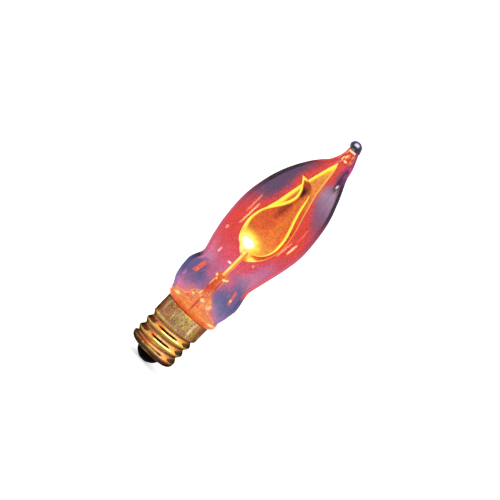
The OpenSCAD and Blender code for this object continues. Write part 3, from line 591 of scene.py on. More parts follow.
def packedRings(node):  # (outer profile, inner profile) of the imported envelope, each a row of (radius, shift, height)
    spots = np.array([v.co for v in cadNodes[node].data.vertices], float)
    spots = spots[np.argsort(spots[:, 2])]
    cuts = np.flatnonzero(np.diff(spots[:, 2]) > 0.02 * mm) + 1
    outer, inner = [], []
    for ring in np.split(spots, cuts):
        middle = (ring[:, 0].min() + ring[:, 0].max()) / 2
        reach = np.hypot(ring[:, 0] - middle, ring[:, 1])
        spot = (middle, ring[:, 2].mean())
        if reach.max() < 0.01 * mm:
            (outer if ring[0, 2] > highCad.z - 0.1 * mm else inner).append((0.0, *spot))
            continue
        outer.append((reach.max(), *spot))
        if reach.max() - reach.min() > 0.25 * mm:
            inner.append((reach.min(), *spot))
    return outer, inner


def trimmed(rings, trim):  # drawn in a little at the left, as the photo shows it
    heights, depths = zip(*trim)
    cuts = [float(np.interp(z / mm, heights, depths)) * mm for _, _, z in rings]
    return [(max(r - cut, 0.0), shift + cut, z) for (r, shift, z), cut in zip(rings, cuts)]


def makeBlownGlass(setup):
    outer, inner = (trimmed(rings, setup["trim"]) for rings in packedRings("glass_envelope"))
    line = [(min(r, highCad.x - shift), shift, z) for r, shift, z in smoothLine(outer, setup["steps"])]
    outerMesh = turned("outerWall", [inner[0]] + line, makeOuterGlass(setup), setup["sides"])
    innerMesh = turned("innerWall", smoothLine(inner, setup["steps"]), makeInnerGlow(setup), setup["sides"])
    piece = placed("blownGlass", [outerMesh, innerMesh])
    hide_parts("glass_envelope")
    return piece


envelope = makeBlownGlass(blownGlass)
print("blown glass ready:", len(envelope.data.polygons), "faces")


# Flame plates: the glow is brightest along the rims and at the foot of the front plate
flamePlates = {
    "cell": 0.3 * mm, "light": 0.95,
    "front": {"hotAt": (-1.4, 36.85), "hotSize": (2.1, 1.4), "coreAt": (-1.0, 36.75), "coreSize": (1.8, 1.1), "middle": 0.6,
              "left": [(35.0, 0.5), (37.6, 1.1), (40.0, 0.8), (42.3, 0.6), (44.6, 0.45), (47.0, 0.55), (48.6, 0.7), (50.3, 0.7),
                       (52.0, 0.62), (53.5, 0.55), (55.0, 0.45), (57.0, 0.4)],
              "right": [(35.5, 0.12), (37.5, 0.2), (39.0, 0.36), (41.5, 0.6), (45.0, 0.6), (50.0, 0.5), (52.5, 0.36), (53.5, 0.2)]},
    "rear": {"hotAt": (2.3, 33.9), "hotSize": (1.0, 0.55), "middle": 0.5,
             "left": [(33.0, 0.2), (40.0, 0.3), (45.5, 0.5), (47.5, 0.9), (49.0, 1.1), (52.0, 0.95), (54.0, 0.8), (56.0, 0.7),
                      (60.0, 0.78), (64.0, 0.9)],
             "right": [(33.0, 0.5), (35.0, 0.3), (37.0, 0.1), (46.0, 0.1), (50.0, 0.18), (64.0, 0.3)]}}


def makePlateGlow(side, setup):
    front = side == "front"
    own = setup[side]
    material, tree, surface = newMaterial(side + "PlateGlow")
    place = lampPlace(tree, 1.6, 420.0)
    fine = grain(tree, 1900.0, 700.0, 0.6)
    rim = put(tree, "ShaderNodeAttribute", attribute_name="rimDistance").outputs["Fac"]
    rim = maths(tree, "ADD", rim, maths(tree, "MULTIPLY", maths(tree, "SUBTRACT", fine["Value"], 0.5), 0.25))
    toRight = ease(tree, place["X"], own["middle"] - 0.3, own["middle"] + 0.3)
    reach = put(tree, "ShaderNodeMix", {0: toRight, 2: valueBands(tree, place["Z"], own["left"]),
                                        3: valueBands(tree, place["Z"], own["right"])}, data_type="FLOAT").outputs[0]
    if front:
        colour = colourBands(tree, place["Stirred Z"], [
            (35.5, tone(250, 180, 80)), (39.0, tone(248, 150, 70)), (41.5, tone(238, 112, 50)), (46.0, tone(226, 94, 44)),
            (50.0, tone(208, 84, 40)), (54.0, tone(190, 76, 36)), (56.5, tone(130, 48, 24))])
        wander = maths(tree, "ADD", place["X"], maths(tree, "MULTIPLY", fine["Value"], 1.2))
        colour = mixColour(tree, maths(tree, "MULTIPLY", ease(tree, wander, 2.8, -1.2), 0.45), colour, tone(206, 78, 38))
        colour = mixColour(tree, maths(tree, "MULTIPLY", hump(tree, wander, 0.6, 2.2, 3.0, 4.4), 0.6), colour, tone(240, 130, 48))
        colour = mixColour(tree, maths(tree, "MULTIPLY", spot(tree, place, (-0.7, 49.2), (0.8, 3.4))["Mask"], 0.7), colour, tone(120, 40, 22))
        colour = mixColour(tree, spot(tree, place, (-0.4, 53.9), (1.1, 1.3))["Mask"], colour, tone(66, 20, 14))
        lit = maths(tree, "SUBTRACT", 1.0, spot(tree, place, (0.9, 56.2), (2.3, 1.9), 0.25)["Mask"])
    else:
        colour = colourBands(tree, place["Stirred Z"], [
            (33.0, tone(244, 140, 60)), (36.0, tone(228, 76, 54)), (46.0, tone(228, 70, 46)), (50.0, tone(226, 92, 44)), (56.0, tone(240, 140, 70)),
            (63.0, tone(244, 160, 80))])
        lit = maths(tree, "SUBTRACT", 1.0, maths(tree, "MULTIPLY", toRight, 0.6))
        low = maths(tree, "MULTIPLY", ease(tree, place["Z"], 37.0, 35.5), ease(tree, place["X"], 1.4, 0.8))
        colour = mixColour(tree, spot(tree, place, (-1.6, 34.7), (2.4, 1.1), 0.3)["Mask"], colour, tone(255, 236, 150))
        lit = maths(tree, "MULTIPLY", lit, maths(tree, "SUBTRACT", 1.0, maths(tree, "MULTIPLY", low, 0.85)))
    colour = flecked(tree, speckled(tree, colour, fine, 0.72, 1.22), 0.4, 0.12, 0.06, 2100.0)
    share = maths(tree, "DIVIDE", rim, reach)
    colour = mixColour(tree, maths(tree, "MULTIPLY", ease(tree, share, 1.35, 0.85), lit), colour, tone(255, 176, 20))
    colour = mixColour(tree, maths(tree, "MULTIPLY", ease(tree, share, 1.0, 0.6), lit), colour, tone(255, 246, 84))
    pale = maths(tree, "MULTIPLY", spot(tree, place, (-2.7, 38.6), (1.3, 3.2))["Mask"], ease(tree, share, 1.1, 0.7))
    colour = mixColour(tree, maths(tree, "MULTIPLY", pale, 0.8 if front else 0.0), colour, tone(255, 253, 206))
    ragged = maths(tree, "MULTIPLY", maths(tree, "SUBTRACT", fine["Value"], 0.5), 1.6)
    away = maths(tree, "ADD", spot(tree, place, own["hotAt"], own["hotSize"])["Distance"], ragged)
    colour = mixColour(tree, ease(tree, away, 2.4, 1.3), colour, tone(255, 206, 40))
    colour = mixColour(tree, ease(tree, away, 1.75, 1.05), colour, tone(255, 245, 112))
    if front:
        core = maths(tree, "ADD", spot(tree, place, own["coreAt"], own["coreSize"])["Distance"], ragged)
        colour = mixColour(tree, ease(tree, core, 1.15, 0.75), colour, tone(255, 254, 252))
    shader = put(tree, "ShaderNodeBsdfPrincipled", {
        "Base Color": dimmed(tree, colour, 0.2), "Metallic": 0.0, "Roughness": 0.6, "Specular IOR Level": 0.0,
        "Emission Color": colour, "Emission Strength": setup["light"], "Normal": relief(tree, fine["Height"], 0.12, 0.03 * mm)})
    tree.links.new(shader.outputs[0], surface)
    return material


def cleanCopy(node):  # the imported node's mesh with its loose triangles joined
    work = bmesh.new()
    work.from_mesh(cadNodes[node].data)
    bmesh.ops.remove_doubles(work, verts=work.verts, dist=0.5e-6)
    return work


def makePlate(node, side, setup):
    work = cleanCopy(node)
    low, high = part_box(node)
    for axis in (0, 2):
        normal = [float(axis == i) for i in range(3)]
        for k in range(1, int((high[axis] - low[axis]) / setup["cell"])):
            spot = [0.0, 0.0, 0.0]
            spot[axis] = low[axis] + k * setup["cell"]
            everything = work.verts[:] + work.edges[:] + work.faces[:]
            bmesh.ops.bisect_plane(work, geom=everything, plane_co=spot, plane_no=normal, dist=0.5e-6)
    cut = bpy.data.meshes.new(node)
    work.to_mesh(cut)
    work.free()
    mesh = grown(node, cut, rimTree, {"Finish": makePlateGlow(side, setup)})
    piece = bpy.data.objects.new("glowing_" + node, mesh)
    scene.collection.objects.link(piece)
    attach(piece, "root")
    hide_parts(node)
    return piece


for node, side in (("flame_plate_front", "front"), ("flame_plate_rear", "rear")):
    made = makePlate(node, side, flamePlates)
    print("plate ready:", node, len(made.data.polygons), "faces")


# Screw shell: one sheet with a rolled right-hand thread
screwShell = {"sides": 144, "flangeBore": 3.2, "foot": 2.5, "corner": 1.4, "sheet": 0.3, "radius": 6.05, "threadFoot": 3.9,
              "threadTop": 11.5, "rim": 15.7, "pitch": 2.54, "depth": 0.66, "crestRise": 0.4, "crestTurn": 15.0, "rows": 110,
              "rough": 0.4, "polished": 0.1}


def makeBrass(setup):
    material, tree, surface = newMaterial("rolledBrass")
    place = lampPlace(tree, 0.3, 700.0)
    fine = grain(tree, 3000.0, 420.0, 0.65)
    cloud = grain(tree, 900.0, 150.0, 0.25)["Value"]
    colour = mixColour(tree, ease(tree, fine["Value"], 0.38, 0.62), tone(96, 73, 47), tone(176, 152, 94))
    stretched = put(tree, "ShaderNodeVectorMath", {0: put(tree, "ShaderNodeTexCoord").outputs["Object"],
                                                   1: (700.0, 700.0, 160.0)}, operation="MULTIPLY").outputs[0]
    drawn = put(tree, "ShaderNodeTexNoise", {"Vector": stretched, "Scale": 1.0, "Detail": 2.0}).outputs["Fac"]
    colour = mixColour(tree, maths(tree, "MULTIPLY", ease(tree, drawn, 0.56, 0.68), 0.55), colour, tone(212, 200, 156))
    colour = mixColour(tree, maths(tree, "MULTIPLY", ease(tree, drawn, 0.44, 0.34), 0.6), colour, tone(104, 74, 66))
    colour = mixColour(tree, maths(tree, "MULTIPLY", ease(tree, cloud, 0.48, 0.6), 0.75), colour, tone(138, 92, 72))
    angle = maths(tree, "ARCTAN2", place["Y"], place["X"])
    climb = maths(tree, "MULTIPLY", maths(tree, "SUBTRACT", place["Z"], setup["threadFoot"] + setup["crestRise"]), 2 * math.pi / setup["pitch"])
    turn = maths(tree, "ADD", maths(tree, "SUBTRACT", climb, angle), math.radians(setup["crestTurn"]))
    inThread = hump(tree, place["Z"], 3.9, 4.6, 10.6, 11.6)
    root = maths(tree, "MULTIPLY", ease(tree, maths(tree, "COSINE", turn), 0.1, -0.8), inThread)
    colour = mixColour(tree, maths(tree, "MULTIPLY", root, 0.6), colour, tone(176, 118, 86))  # tarnish in the groove
    # painted shade: a dark band where the shell curls in at its foot
    colour = mixColour(tree, maths(tree, "MULTIPLY", hump(tree, place["Stirred Z"], 2.8, 3.05, 3.5, 4.1), 0.85), colour, tone(64, 48, 40))
    skirtFoot = maths(tree, "MULTIPLY", hump(tree, place["Stirred Z"], 11.0, 11.5, 11.9, 12.6), 0.6)
    colour = mixColour(tree, skirtFoot, colour, tone(128, 88, 70))
    crestWearAndHighlight = maths(tree, "MULTIPLY", inThread, ease(tree, maths(tree, "COSINE", turn), -0.9, 0.0))  # the crests: rubbed smoother by wear, and painted lighter as a painted highlight
    colour = mixColour(tree, maths(tree, "MULTIPLY", crestWearAndHighlight, 0.7), colour, tone(214, 184, 104))
    rough = put(tree, "ShaderNodeMix", {0: crestWearAndHighlight, 2: setup["rough"], 3: setup["polished"]}, data_type="FLOAT").outputs[0]
    rough = maths(tree, "ADD", rough, maths(tree, "MULTIPLY", maths(tree, "SUBTRACT", fine["Value"], 0.5), 0.2))
    dents = maths(tree, "MULTIPLY", fine["Height"], maths(tree, "SUBTRACT", 1.0, maths(tree, "MULTIPLY", crestWearAndHighlight, 0.85)))
    colour = flecked(tree, colour, 0.26, 0.28, 0.26, 2800.0)
    shader = put(tree, "ShaderNodeBsdfPrincipled", {"Base Color": colour, "Metallic": 1.0, "Roughness": rough,
                                                    "Specular Tint": tone(70, 44, 60),
                                                    "Normal": relief(tree, dents, 0.3, 0.02 * mm)})
    tree.links.new(shader.outputs[0], surface)
    return material


def makeShell(setup):
    s = setup
    flat = s["radius"] - s["corner"]
    rows = [between(s["threadFoot"], s["threadTop"], i / s["rows"]) for i in range(1, s["rows"])]
    inside = s["radius"] - s["sheet"]
    lip = s["sheet"] / 2
    outer = [(s["flangeBore"], s["foot"] + 0.1), (s["flangeBore"] + 0.1, s["foot"])]
    outer += arc((flat, s["threadFoot"]), s["corner"], -90, 0) + [(s["radius"], z) for z in rows]
    outer += [(s["radius"], s["threadTop"]), (s["radius"], s["rim"] - 0.6)]
    rim = arc((s["radius"] - lip, s["rim"] - lip), lip, 0, 180, 8)
    inner = [(inside, s["rim"] - 0.6), (inside, s["threadTop"])] + [(inside, z) for z in reversed(rows)]
    inner += arc((flat, s["threadFoot"]), s["corner"] - s["sheet"], 0, -90)
    inner += [(s["flangeBore"], s["foot"] + s["sheet"]), outer[0]]
    mesh = turned("screwShell", upright(outer + rim + inner), makeBrass(s), s["sides"], **{
        "Wave Depth": s["depth"] * mm, "Wave Pitch": s["pitch"] * mm, "Wave Foot": s["threadFoot"] * mm,
        "Wave Top": s["threadTop"] * mm, "Crest Rise": s["crestRise"] * mm, "Crest Turn": math.radians(s["crestTurn"])})
    piece = placed("screwShell", [mesh], sharp=40)
    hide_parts("screw_shell")
    return piece


shell = makeShell(screwShell)
print("screw shell ready:", len(shell.data.polygons), "faces")


# Stem: the pressed glass glows orange, brightest in the lip, with dark lines in the press
stemGlass = {"light": 0.86, "glints": [  # bright spots of the glow in the glass: place (x, z) and half sizes
    ((-0.6, 21.0), (0.18, 0.6)), ((1.2, 20.1), (0.5, 0.36)), ((3.0, 19.5), (0.25, 0.55)), ((-1.7, 19.7), (0.5, 0.24)),
    ((-0.3, 25.9), (0.2, 0.2)), ((-0.95, 26.6), (0.4, 0.3)), ((1.2, 26.7), (0.3, 0.3)), ((-6.3, 17.0), (0.5, 0.25)),
    ((6.6, 17.3), (0.4, 0.25)), ((-3.8, 17.6), (0.7, 0.15))]}


def makeStem(setup):
    material, tree, surface = newMaterial("stemGlow")
    place = lampPlace(tree, 0.7, 600.0)
    fine = grain(tree, 2300.0, 620.0, 0.5)
    colour = colourBands(tree, place["Stirred Z"], [
        (15.7, tone(170, 35, 21)), (16.1, tone(207, 81, 35)), (16.8, tone(217, 110, 49)), (17.5, tone(227, 134, 70)), (18.3, tone(232, 124, 74)),
        (19.6, tone(232, 130, 90)), (21.4, tone(230, 120, 72)), (22.6, tone(214, 78, 44)), (24.0, tone(206, 66, 34)),
        (26.0, tone(222, 88, 38)), (27.6, tone(230, 112, 50))])
    stretched = put(tree, "ShaderNodeVectorMath", {0: put(tree, "ShaderNodeTexCoord").outputs["Object"],
                                                   1: (1500.0, 1500.0, 260.0)}, operation="MULTIPLY").outputs[0]
    coneStreaks = put(tree, "ShaderNodeTexNoise", {"Vector": stretched, "Scale": 1.0, "Detail": 2.0}).outputs["Fac"]
    inCone = hump(tree, place["Z"], 17.6, 18.4, 25.8, 26.6)
    # painted highlights: pale streaks in the cone, with painted dark streaks between them
    colour = mixColour(tree, maths(tree, "MULTIPLY", maths(tree, "MULTIPLY", ease(tree, coneStreaks, 0.55, 0.66), inCone), 0.85), colour, tone(255, 200, 116))
    colour = mixColour(tree, maths(tree, "MULTIPLY", maths(tree, "MULTIPLY", ease(tree, coneStreaks, 0.42, 0.32), inCone), 0.6), colour, tone(176, 36, 34))
    rim = ease(tree, maths(tree, "ABSOLUTE", maths(tree, "SUBTRACT", place["X"], 0.0)), 1.35, 1.8)
    colour = mixColour(tree, maths(tree, "MULTIPLY", maths(tree, "MULTIPLY", rim, hump(tree, place["Z"], 20.4, 21.0, 25.6, 26.2)), 0.6), colour, tone(250, 150, 66))
    turn = math.radians(blownGlass["glowTurn"])
    turnedPlace = {"X": maths(tree, "ADD", maths(tree, "MULTIPLY", place["X"], math.cos(turn)),
                              maths(tree, "MULTIPLY", place["Y"], math.sin(turn))), "Z": place["Z"]}
    colour = mixColour(tree, maths(tree, "MULTIPLY", spot(tree, turnedPlace, (-0.15, 18.7), (0.24, 2.1), 0.5)["Mask"], 0.8), colour, tone(186, 44, 28))
    for glint, size in setup["glints"]:
        colour = mixColour(tree, spot(tree, place, glint, size, 0.6)["Mask"], colour, tone(255, 230, 144))
    colour = flecked(tree, speckled(tree, colour, fine, 0.8, 1.18), 0.3, 0.25, 0.16)
    shader = put(tree, "ShaderNodeBsdfPrincipled", {
        "Base Color": dimmed(tree, colour, 0.35), "Roughness": 0.2, "Specular IOR Level": 0.1, "Emission Color": colour,
        "Emission Strength": setup["light"],
        "Normal": relief(tree, fine["Height"], 0.2, 0.06 * mm)})
    clear = put(tree, "ShaderNodeBsdfTransparent", {"Color": (1, 1, 1, 1)})
    solid = valueBands(tree, place["Z"], [(15.7, 0.98), (18.0, 0.96), (19.2, 0.84), (21.0, 0.86), (23.0, 0.94), (27.6, 0.97)])
    whole = put(tree, "ShaderNodeMixShader", {0: solid, 1: clear.outputs[0], 2: shader.outputs[0]})
    tree.links.new(whole.outputs[0], surface)
    work = cleanCopy("stem_flare")
    mesh = bpy.data.meshes.new("stemGlass")
    work.to_mesh(mesh)
    work.free()
    mesh.materials.clear()
    mesh.materials.append(material)
    piece = placed("stemGlass", [mesh], sharp=38, outward=False)
    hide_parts("stem_flare")
    return piece


makeStem(stemGlass)
print("stem ready")


# Black insulator, turned smooth, with a faint mould texture
insulatorDome = {"radius": 3.15, "height": 2.5, "contact": 0.35, "flange": 4.6, "seat": 2.8, "top": 4.4, "bore": 0.8,
                 "eyelet": 1.55, "eyeletSheet": 0.25}


def makeInsulator(setup):
    s = setup
    cut = math.degrees(math.asin((s["height"] - s["contact"]) / s["height"]))
    dome = [(s["radius"] * math.cos(math.radians(a)), s["height"] * (1 - math.sin(math.radians(a))))
            for a in (between(cut, 0, i / 28) for i in range(29))]
    under = s["contact"] + s["eyeletSheet"]
    profile = [(s["bore"], under), (s["eyelet"], under)] + ([(s["eyelet"], dome[0][1])] if dome[0][0] < s["eyelet"] else []) + [
        p for p in dome if p[0] > s["eyelet"] * 0.999]
    profile += [(s["radius"], s["seat"]), (s["flange"], s["seat"]), (s["flange"], s["top"]), (s["bore"], s["top"]), (s["bore"], under)]
    finish = plainFinish("blackInsulator", tone(0, 0, 0), tone(6, 4, 3), 0.0, 0.5, 1500.0, 300.0, 0.05, gloss=0.02)
    piece = placed("insulatorDome", [turned("insulatorDome", upright(profile), finish, 96)], sharp=35)
    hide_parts("base_insulator")
    return piece


makeInsulator(insulatorDome)
print("insulator ready")


# Wiped solder on the skirt's rear side, where the side lead comes through
wipedSolder = {"radius": 0.66, "seat": 5.85, "proud": 0.36, "height": 14.75, "waver": 0.1}


def makeWipedSolder(setup):
    s = setup
    profile = [(0.0, 0.0), (s["radius"], 0.0)]
    profile += [(s["radius"] * math.cos(math.radians(a)), s["proud"] * (0.45 + 0.55 * math.sin(math.radians(a)))) for a in range(0, 91, 10)]
    finish = plainFinish("wipedSolder", tone(120, 117, 110), tone(170, 166, 158), 1.0, 0.4, 2000.0, 500.0, 0.3)
    mesh = turned("wipedSolder", upright(profile), finish, 48)
    for vertex in mesh.vertices:
        turn = math.atan2(vertex.co.y, vertex.co.x)
        swell = 1 + s["waver"] * (math.sin(2 * turn + 0.6) + 0.5 * math.sin(3 * turn + 2.0))
        vertex.co.x, vertex.co.y = vertex.co.x * swell, vertex.co.y * swell
    mesh.transform(Matrix.Translation((0, s["seat"] * mm, s["height"] * mm)) @ Matrix.Rotation(math.radians(-90), 4, "X"))
    piece = placed("wipedSolder", [mesh], sharp=50)
    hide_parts("side_solder")
    return piece


makeWipedSolder(wipedSolder)
print("wiped solder ready")


# Leads: drawn wires along smooth paths, in millimetres
leads = {
    "centre_lead": {"radius": 0.2, "path": [(0, -1, 20.1), (0, -1, 19.4), (0, -0.82, 18.3), (0, -0.5, 17.5), (0, -0.18, 16.7),
                                            (0, 0, 16.05), (0, 0, 15.45)]},
    "side_lead": {"radius": 0.2, "path": [(0, 1, 20.1), (0, 1, 17.6), (0, 1, 15.95), (0, 1.09, 15.49), (0, 1.35, 15.1),
                                          (0, 1.74, 14.84), (0, 2.2, 14.75), (0, 4.2, 14.75), (0, 5.9, 14.75)]}}
copperFinish = plainFinish("bareCopper", tone(150, 78, 44), tone(206, 122, 78), 1.0, 0.35, 3000.0, 500.0, 0.1)
for node, setup in leads.items():
    path = smoothLine([tuple(c * mm for c in p) for p in setup["path"]], 5)
    mesh = grown(node, chain(path), wireTree, {"Radius": setup["radius"] * mm, "Sides": 16, "Finish": copperFinish})
    lead = placed("drawn_" + node, [mesh], sharp=60)
    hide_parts(node)
print("leads ready")


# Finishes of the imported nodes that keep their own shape
def makeHotWire(name, colourA, colourB, light):
    material, tree, surface = newMaterial(name)
    place = lampPlace(tree)
    fine = grain(tree, 2600.0, 700.0)
    colour = mixColour(tree, ease(tree, fine["Value"], 0.3, 0.7), colourA, colourB)
    glow = valueBands(tree, place["Z"], [(20.0, 0.15), (26.0, 0.7), (35.0, 1.0)])
    shader = put(tree, "ShaderNodeBsdfPrincipled", {
        "Base Color": colour, "Metallic": 0.6, "Roughness": 0.3,
        "Emission Color": mixColour(tree, glow, (0, 0, 0, 1), colour), "Emission Strength": light})
    tree.links.new(shader.outputs[0], surface)
    return material


nodeFinishes = {
    "support_wire_front": makeHotWire("frontWireGlow", tone(250, 196, 84), tone(255, 238, 130), 0.86),
    "support_wire_rear": makeHotWire("rearWireGlow", tone(232, 120, 50), tone(250, 150, 70), 0.76),
    "seal_wire_front": makeHotWire("sealWireGlow", tone(170, 40, 34), tone(214, 70, 44), 0.54),
    "ballast_resistor": plainFinish("resistorPaint", tone(180, 156, 112), tone(208, 188, 146), 0.0, 0.5, 1800.0, 300.0, 0.1, 0.3),
    "resistor_lead_upper": plainFinish("tinnedWire", tone(160, 158, 154), tone(206, 204, 200), 1.0, 0.3),
    "insulating_sleeve": plainFinish("wovenSleeve", tone(206, 198, 178), tone(228, 222, 206), 0.0, 0.7, 2400.0, 500.0, 0.3),
    "basing_cement": plainFinish("basingCement", tone(176, 162, 136), tone(214, 202, 176), 0.0, 0.9, 1600.0, 300.0, 0.6),
    "contact_eyelet": plainFinish("eyeletBrass", tone(120, 104, 62), tone(160, 140, 86), 1.0, 0.4, 2600.0, 400.0, 0.15),
    "solder_centre": plainFinish("dullSolder", tone(30, 29, 30), tone(62, 60, 60), 0.8, 0.45, 2000.0, 500.0, 0.3),
    "splice_solder": plainFinish("brightSolder", tone(140, 138, 134), tone(186, 184, 180), 1.0, 0.35, 2000.0, 500.0, 0.2)}
nodeFinishes["seal_wire_rear"] = nodeFinishes["seal_wire_front"]
nodeFinishes["resistor_lead_lower"] = nodeFinishes["resistor_lead_upper"]
for node, finish in nodeFinishes.items():
    cadNodes[node].data.materials.clear()
    cadNodes[node].data.materials.append(finish)
print("finishes ready:", len(nodeFinishes))


# Stage: a pale floor, a white surrounding, dark flags and small lights that only reflections see
stage = {"floorSize": 6.0, "ambient": 0.62, "shade": (0.05, 0.006)}


def makeStageSheet(name, corners, material, faces=None):
    mesh = bpy.data.meshes.new(name)
    mesh.from_pydata([tuple(c) for c in corners], [], faces or [tuple(range(len(corners)))])
    mesh.materials.append(material)
    sheet = bpy.data.objects.new(name, mesh)
    scene.collection.objects.link(sheet)
    return sheet


def makeFloor(setup):
    material, tree, surface = newMaterial("paleFloor")
    fine = grain(tree, 60.0, 8.0)
    colour = mixColour(tree, fine["Value"], tone(232, 232, 232), tone(240, 240, 240))
    rays = put(tree, "ShaderNodeLightPath").outputs
    seen = maths(tree, "MAXIMUM", maths(tree, "MAXIMUM", rays["Is Camera Ray"], rays["Is Glossy Ray"]), rays["Is Transmission Ray"])
    diffuse = put(tree, "ShaderNodeBsdfDiffuse", {"Color": colour})
    white = put(tree, "ShaderNodeEmission", {"Color": (1, 1, 1, 1), "Strength": maths(tree, "MULTIPLY", seen, 0.56)})
    both = put(tree, "ShaderNodeAddShader", {0: diffuse.outputs[0], 1: white.outputs[0]})
    away = put(tree, "ShaderNodeVectorMath", {0: put(tree, "ShaderNodeTexCoord").outputs["Object"]}, operation="LENGTH").outputs["Value"]
    shade = maths(tree, "MULTIPLY", rays["Is Glossy Ray"], ease(tree, away, *setup["shade"]))  # painted shade: glossy rays see the floor darker near the lamp, so the brass mirrors a dark foot
    dark = put(tree, "ShaderNodeEmission", {"Color": tone(214, 160, 190), "Strength": 0.5})
    whole = put(tree, "ShaderNodeMixShader", {0: maths(tree, "MULTIPLY", shade, 0.55), 1: both.outputs[0], 2: dark.outputs[0]})
    tree.links.new(whole.outputs[0], surface)
    s = setup["floorSize"]
    return makeStageSheet("floor", [(-s, -s, -0.05 * mm), (s, -s, -0.05 * mm), (s, s, -0.05 * mm), (-s, s, -0.05 * mm)], material)


def makeWorld(setup):
    world = bpy.data.worlds.new("studio")
    world.use_nodes = True
    tree = world.node_tree
    tree.nodes.clear()
    rays = put(tree, "ShaderNodeLightPath").outputs
    seen = maths(tree, "MAXIMUM", maths(tree, "MAXIMUM", rays["Is Camera Ray"], rays["Is Glossy Ray"]), rays["Is Transmission Ray"])
    strength = put(tree, "ShaderNodeMapRange", {"Value": seen, "To Min": setup["ambient"], "To Max": 1.0}).outputs[0]
    light = put(tree, "ShaderNodeBackground", {"Color": (1, 1, 1, 1), "Strength": strength})
    tree.links.new(light.outputs[0], put(tree, "ShaderNodeOutputWorld").inputs["Surface"])
    scene.world = world


def addLamp(name, place, size, power, colour=(1, 1, 1)):
    data = bpy.data.lights.new(name, "AREA")
    data.shape, data.size, data.energy, data.color = "DISK", size, power, colour
    lamp = bpy.data.objects.new(name, data)
    scene.collection.objects.link(lamp)
    lamp.location = place
    aim = Vector((0, 0, 0.035)) - Vector(place)
    lamp.rotation_euler = aim.to_track_quat("-Z", "Y").to_euler()
    return lamp


# Panels, dark and bright, and small cards that only reflections see. A card is set where it shows at its place in the photo
panels = {"reach": 0.55, "shapes": [  # degrees round from the camera's side, degrees up, strength and colour
    ((103, 176), (0, 42), 0.26, (200, 200, 255)), ((184, 272), (0, 42), 0.22, (255, 170, 190)),
    ((-100, 100), (51.8, 88), 0.01, (255, 255, 255)), ((-31, 75), (4, 51.3), 4.4, (255, 250, 232)),
    ((-84, -31), (0, 52.5), 2.8, (255, 158, 120)), ((75, 103), (0, 66), 3.8, (255, 176, 125))]}
tent = {"reach": 0.7, "high": 1.0, "strength": 0.1, "colour": (255, 240, 255)}
cards = {"rows": 10, "columns": 4, "shapes": [  # photo-frame outlines: pixels right of the lamp's axis, pixels up it; strength, colour, reach
    ([(-28.8, 178), (-26.6, 178), (-26.0, 204), (-28.2, 204)], 4.6, (255, 182, 120), 0.025),
    ([(-25.6, 165), (-23.2, 165), (-21.8, 195), (-24.2, 195)], 6.6, (255, 226, 150), 0.028),
    ([(24.4, 166), (26.6, 166), (28.8, 188), (26.6, 188)], 5.0, (255, 200, 150), 0.025),
    ([(30.2, 190), (32.0, 190), (31.6, 209), (29.8, 209)], 3.0, (255, 150, 90), 0.031),
    ([(30.2, 175), (32.8, 175), (34.2, 190), (31.6, 190)], 8.0, (255, 240, 160), 0.022),
    ([(-31.6, 89), (-28.4, 89), (-28.4, 96), (-31.6, 96)], 3.4, (255, 110, 160), 0.03),
    ([(20.4, 256.4), (22.8, 256.4), (22.6, 261.4), (20.2, 261.4)], 7.5, (225, 245, 225), 0.012),
    ([(24.2, 249), (27.0, 249), (23.8, 258), (21.8, 258)], 2.2, (210, 190, 236), 0.036),
    ([(-21.4, 130), (-19.0, 130), (-19.4, 136.5), (-21.6, 136.5)], 6.6, (255, 220, 180), 0.018),
    ([(-6.8, 129.2), (-1.8, 129.2), (-1.8, 131.8), (-6.8, 131.8)], 8.5, (255, 250, 220), 0.018),
    ([(-32.2, 152.6), (-29.6, 152.6), (-29.6, 157.2), (-32.2, 157.2)], 5.0, (255, 220, 190), 0.013),
    ([(14.2, 141.8), (16.8, 141.8), (16.8, 145.0), (14.2, 145.0)], 5.0, (255, 210, 160), 0.021),
    ([(3.2, 300.8), (10.8, 301.2), (10.0, 305.0), (4.6, 305.0)], 9.5, (236, 226, 246), 0.02),
    ([(5.0, 296.6), (9.0, 296.8), (9.4, 298.4), (4.6, 298.2)], 2.4, (130, 220, 210), 0.05)]}


def onlyReflected(sheet):
    sheet.visible_camera = sheet.visible_diffuse = sheet.visible_transmission = sheet.visible_shadow = False


def makePanels(setup):
    facing = math.atan2(view["back"].y, view["back"].x)
    for n, ((start, end), (low, high), strength, colour) in enumerate(setup["shapes"]):
        material, tree, surface = newMaterial(f"panelLight{n}")
        sharp = put(tree, "ShaderNodeLightPath").outputs["Is Singular Ray"]  # the glass looks through the panels
        light = put(tree, "ShaderNodeEmission", {"Color": tone(*colour), "Strength": strength})
        clear = put(tree, "ShaderNodeBsdfTransparent", {"Color": (1, 1, 1, 1)})
        panel = put(tree, "ShaderNodeMixShader", {0: sharp, 1: light.outputs[0], 2: clear.outputs[0]})
        tree.links.new(panel.outputs[0], surface)
        for i in range(8):
            corners = []
            for share, rise in ((i / 8, low), ((i + 1) / 8, low), ((i + 1) / 8, high), (i / 8, high)):
                turn, up = facing + math.radians(between(start, end, share)), math.radians(rise)
                corners.append((setup["reach"] * math.cos(up) * math.cos(turn), setup["reach"] * math.cos(up) * math.sin(turn),
                                max(setup["reach"] * math.sin(up), 0.001)))
            onlyReflected(makeStageSheet(f"panel{n}_{i}", corners, material))


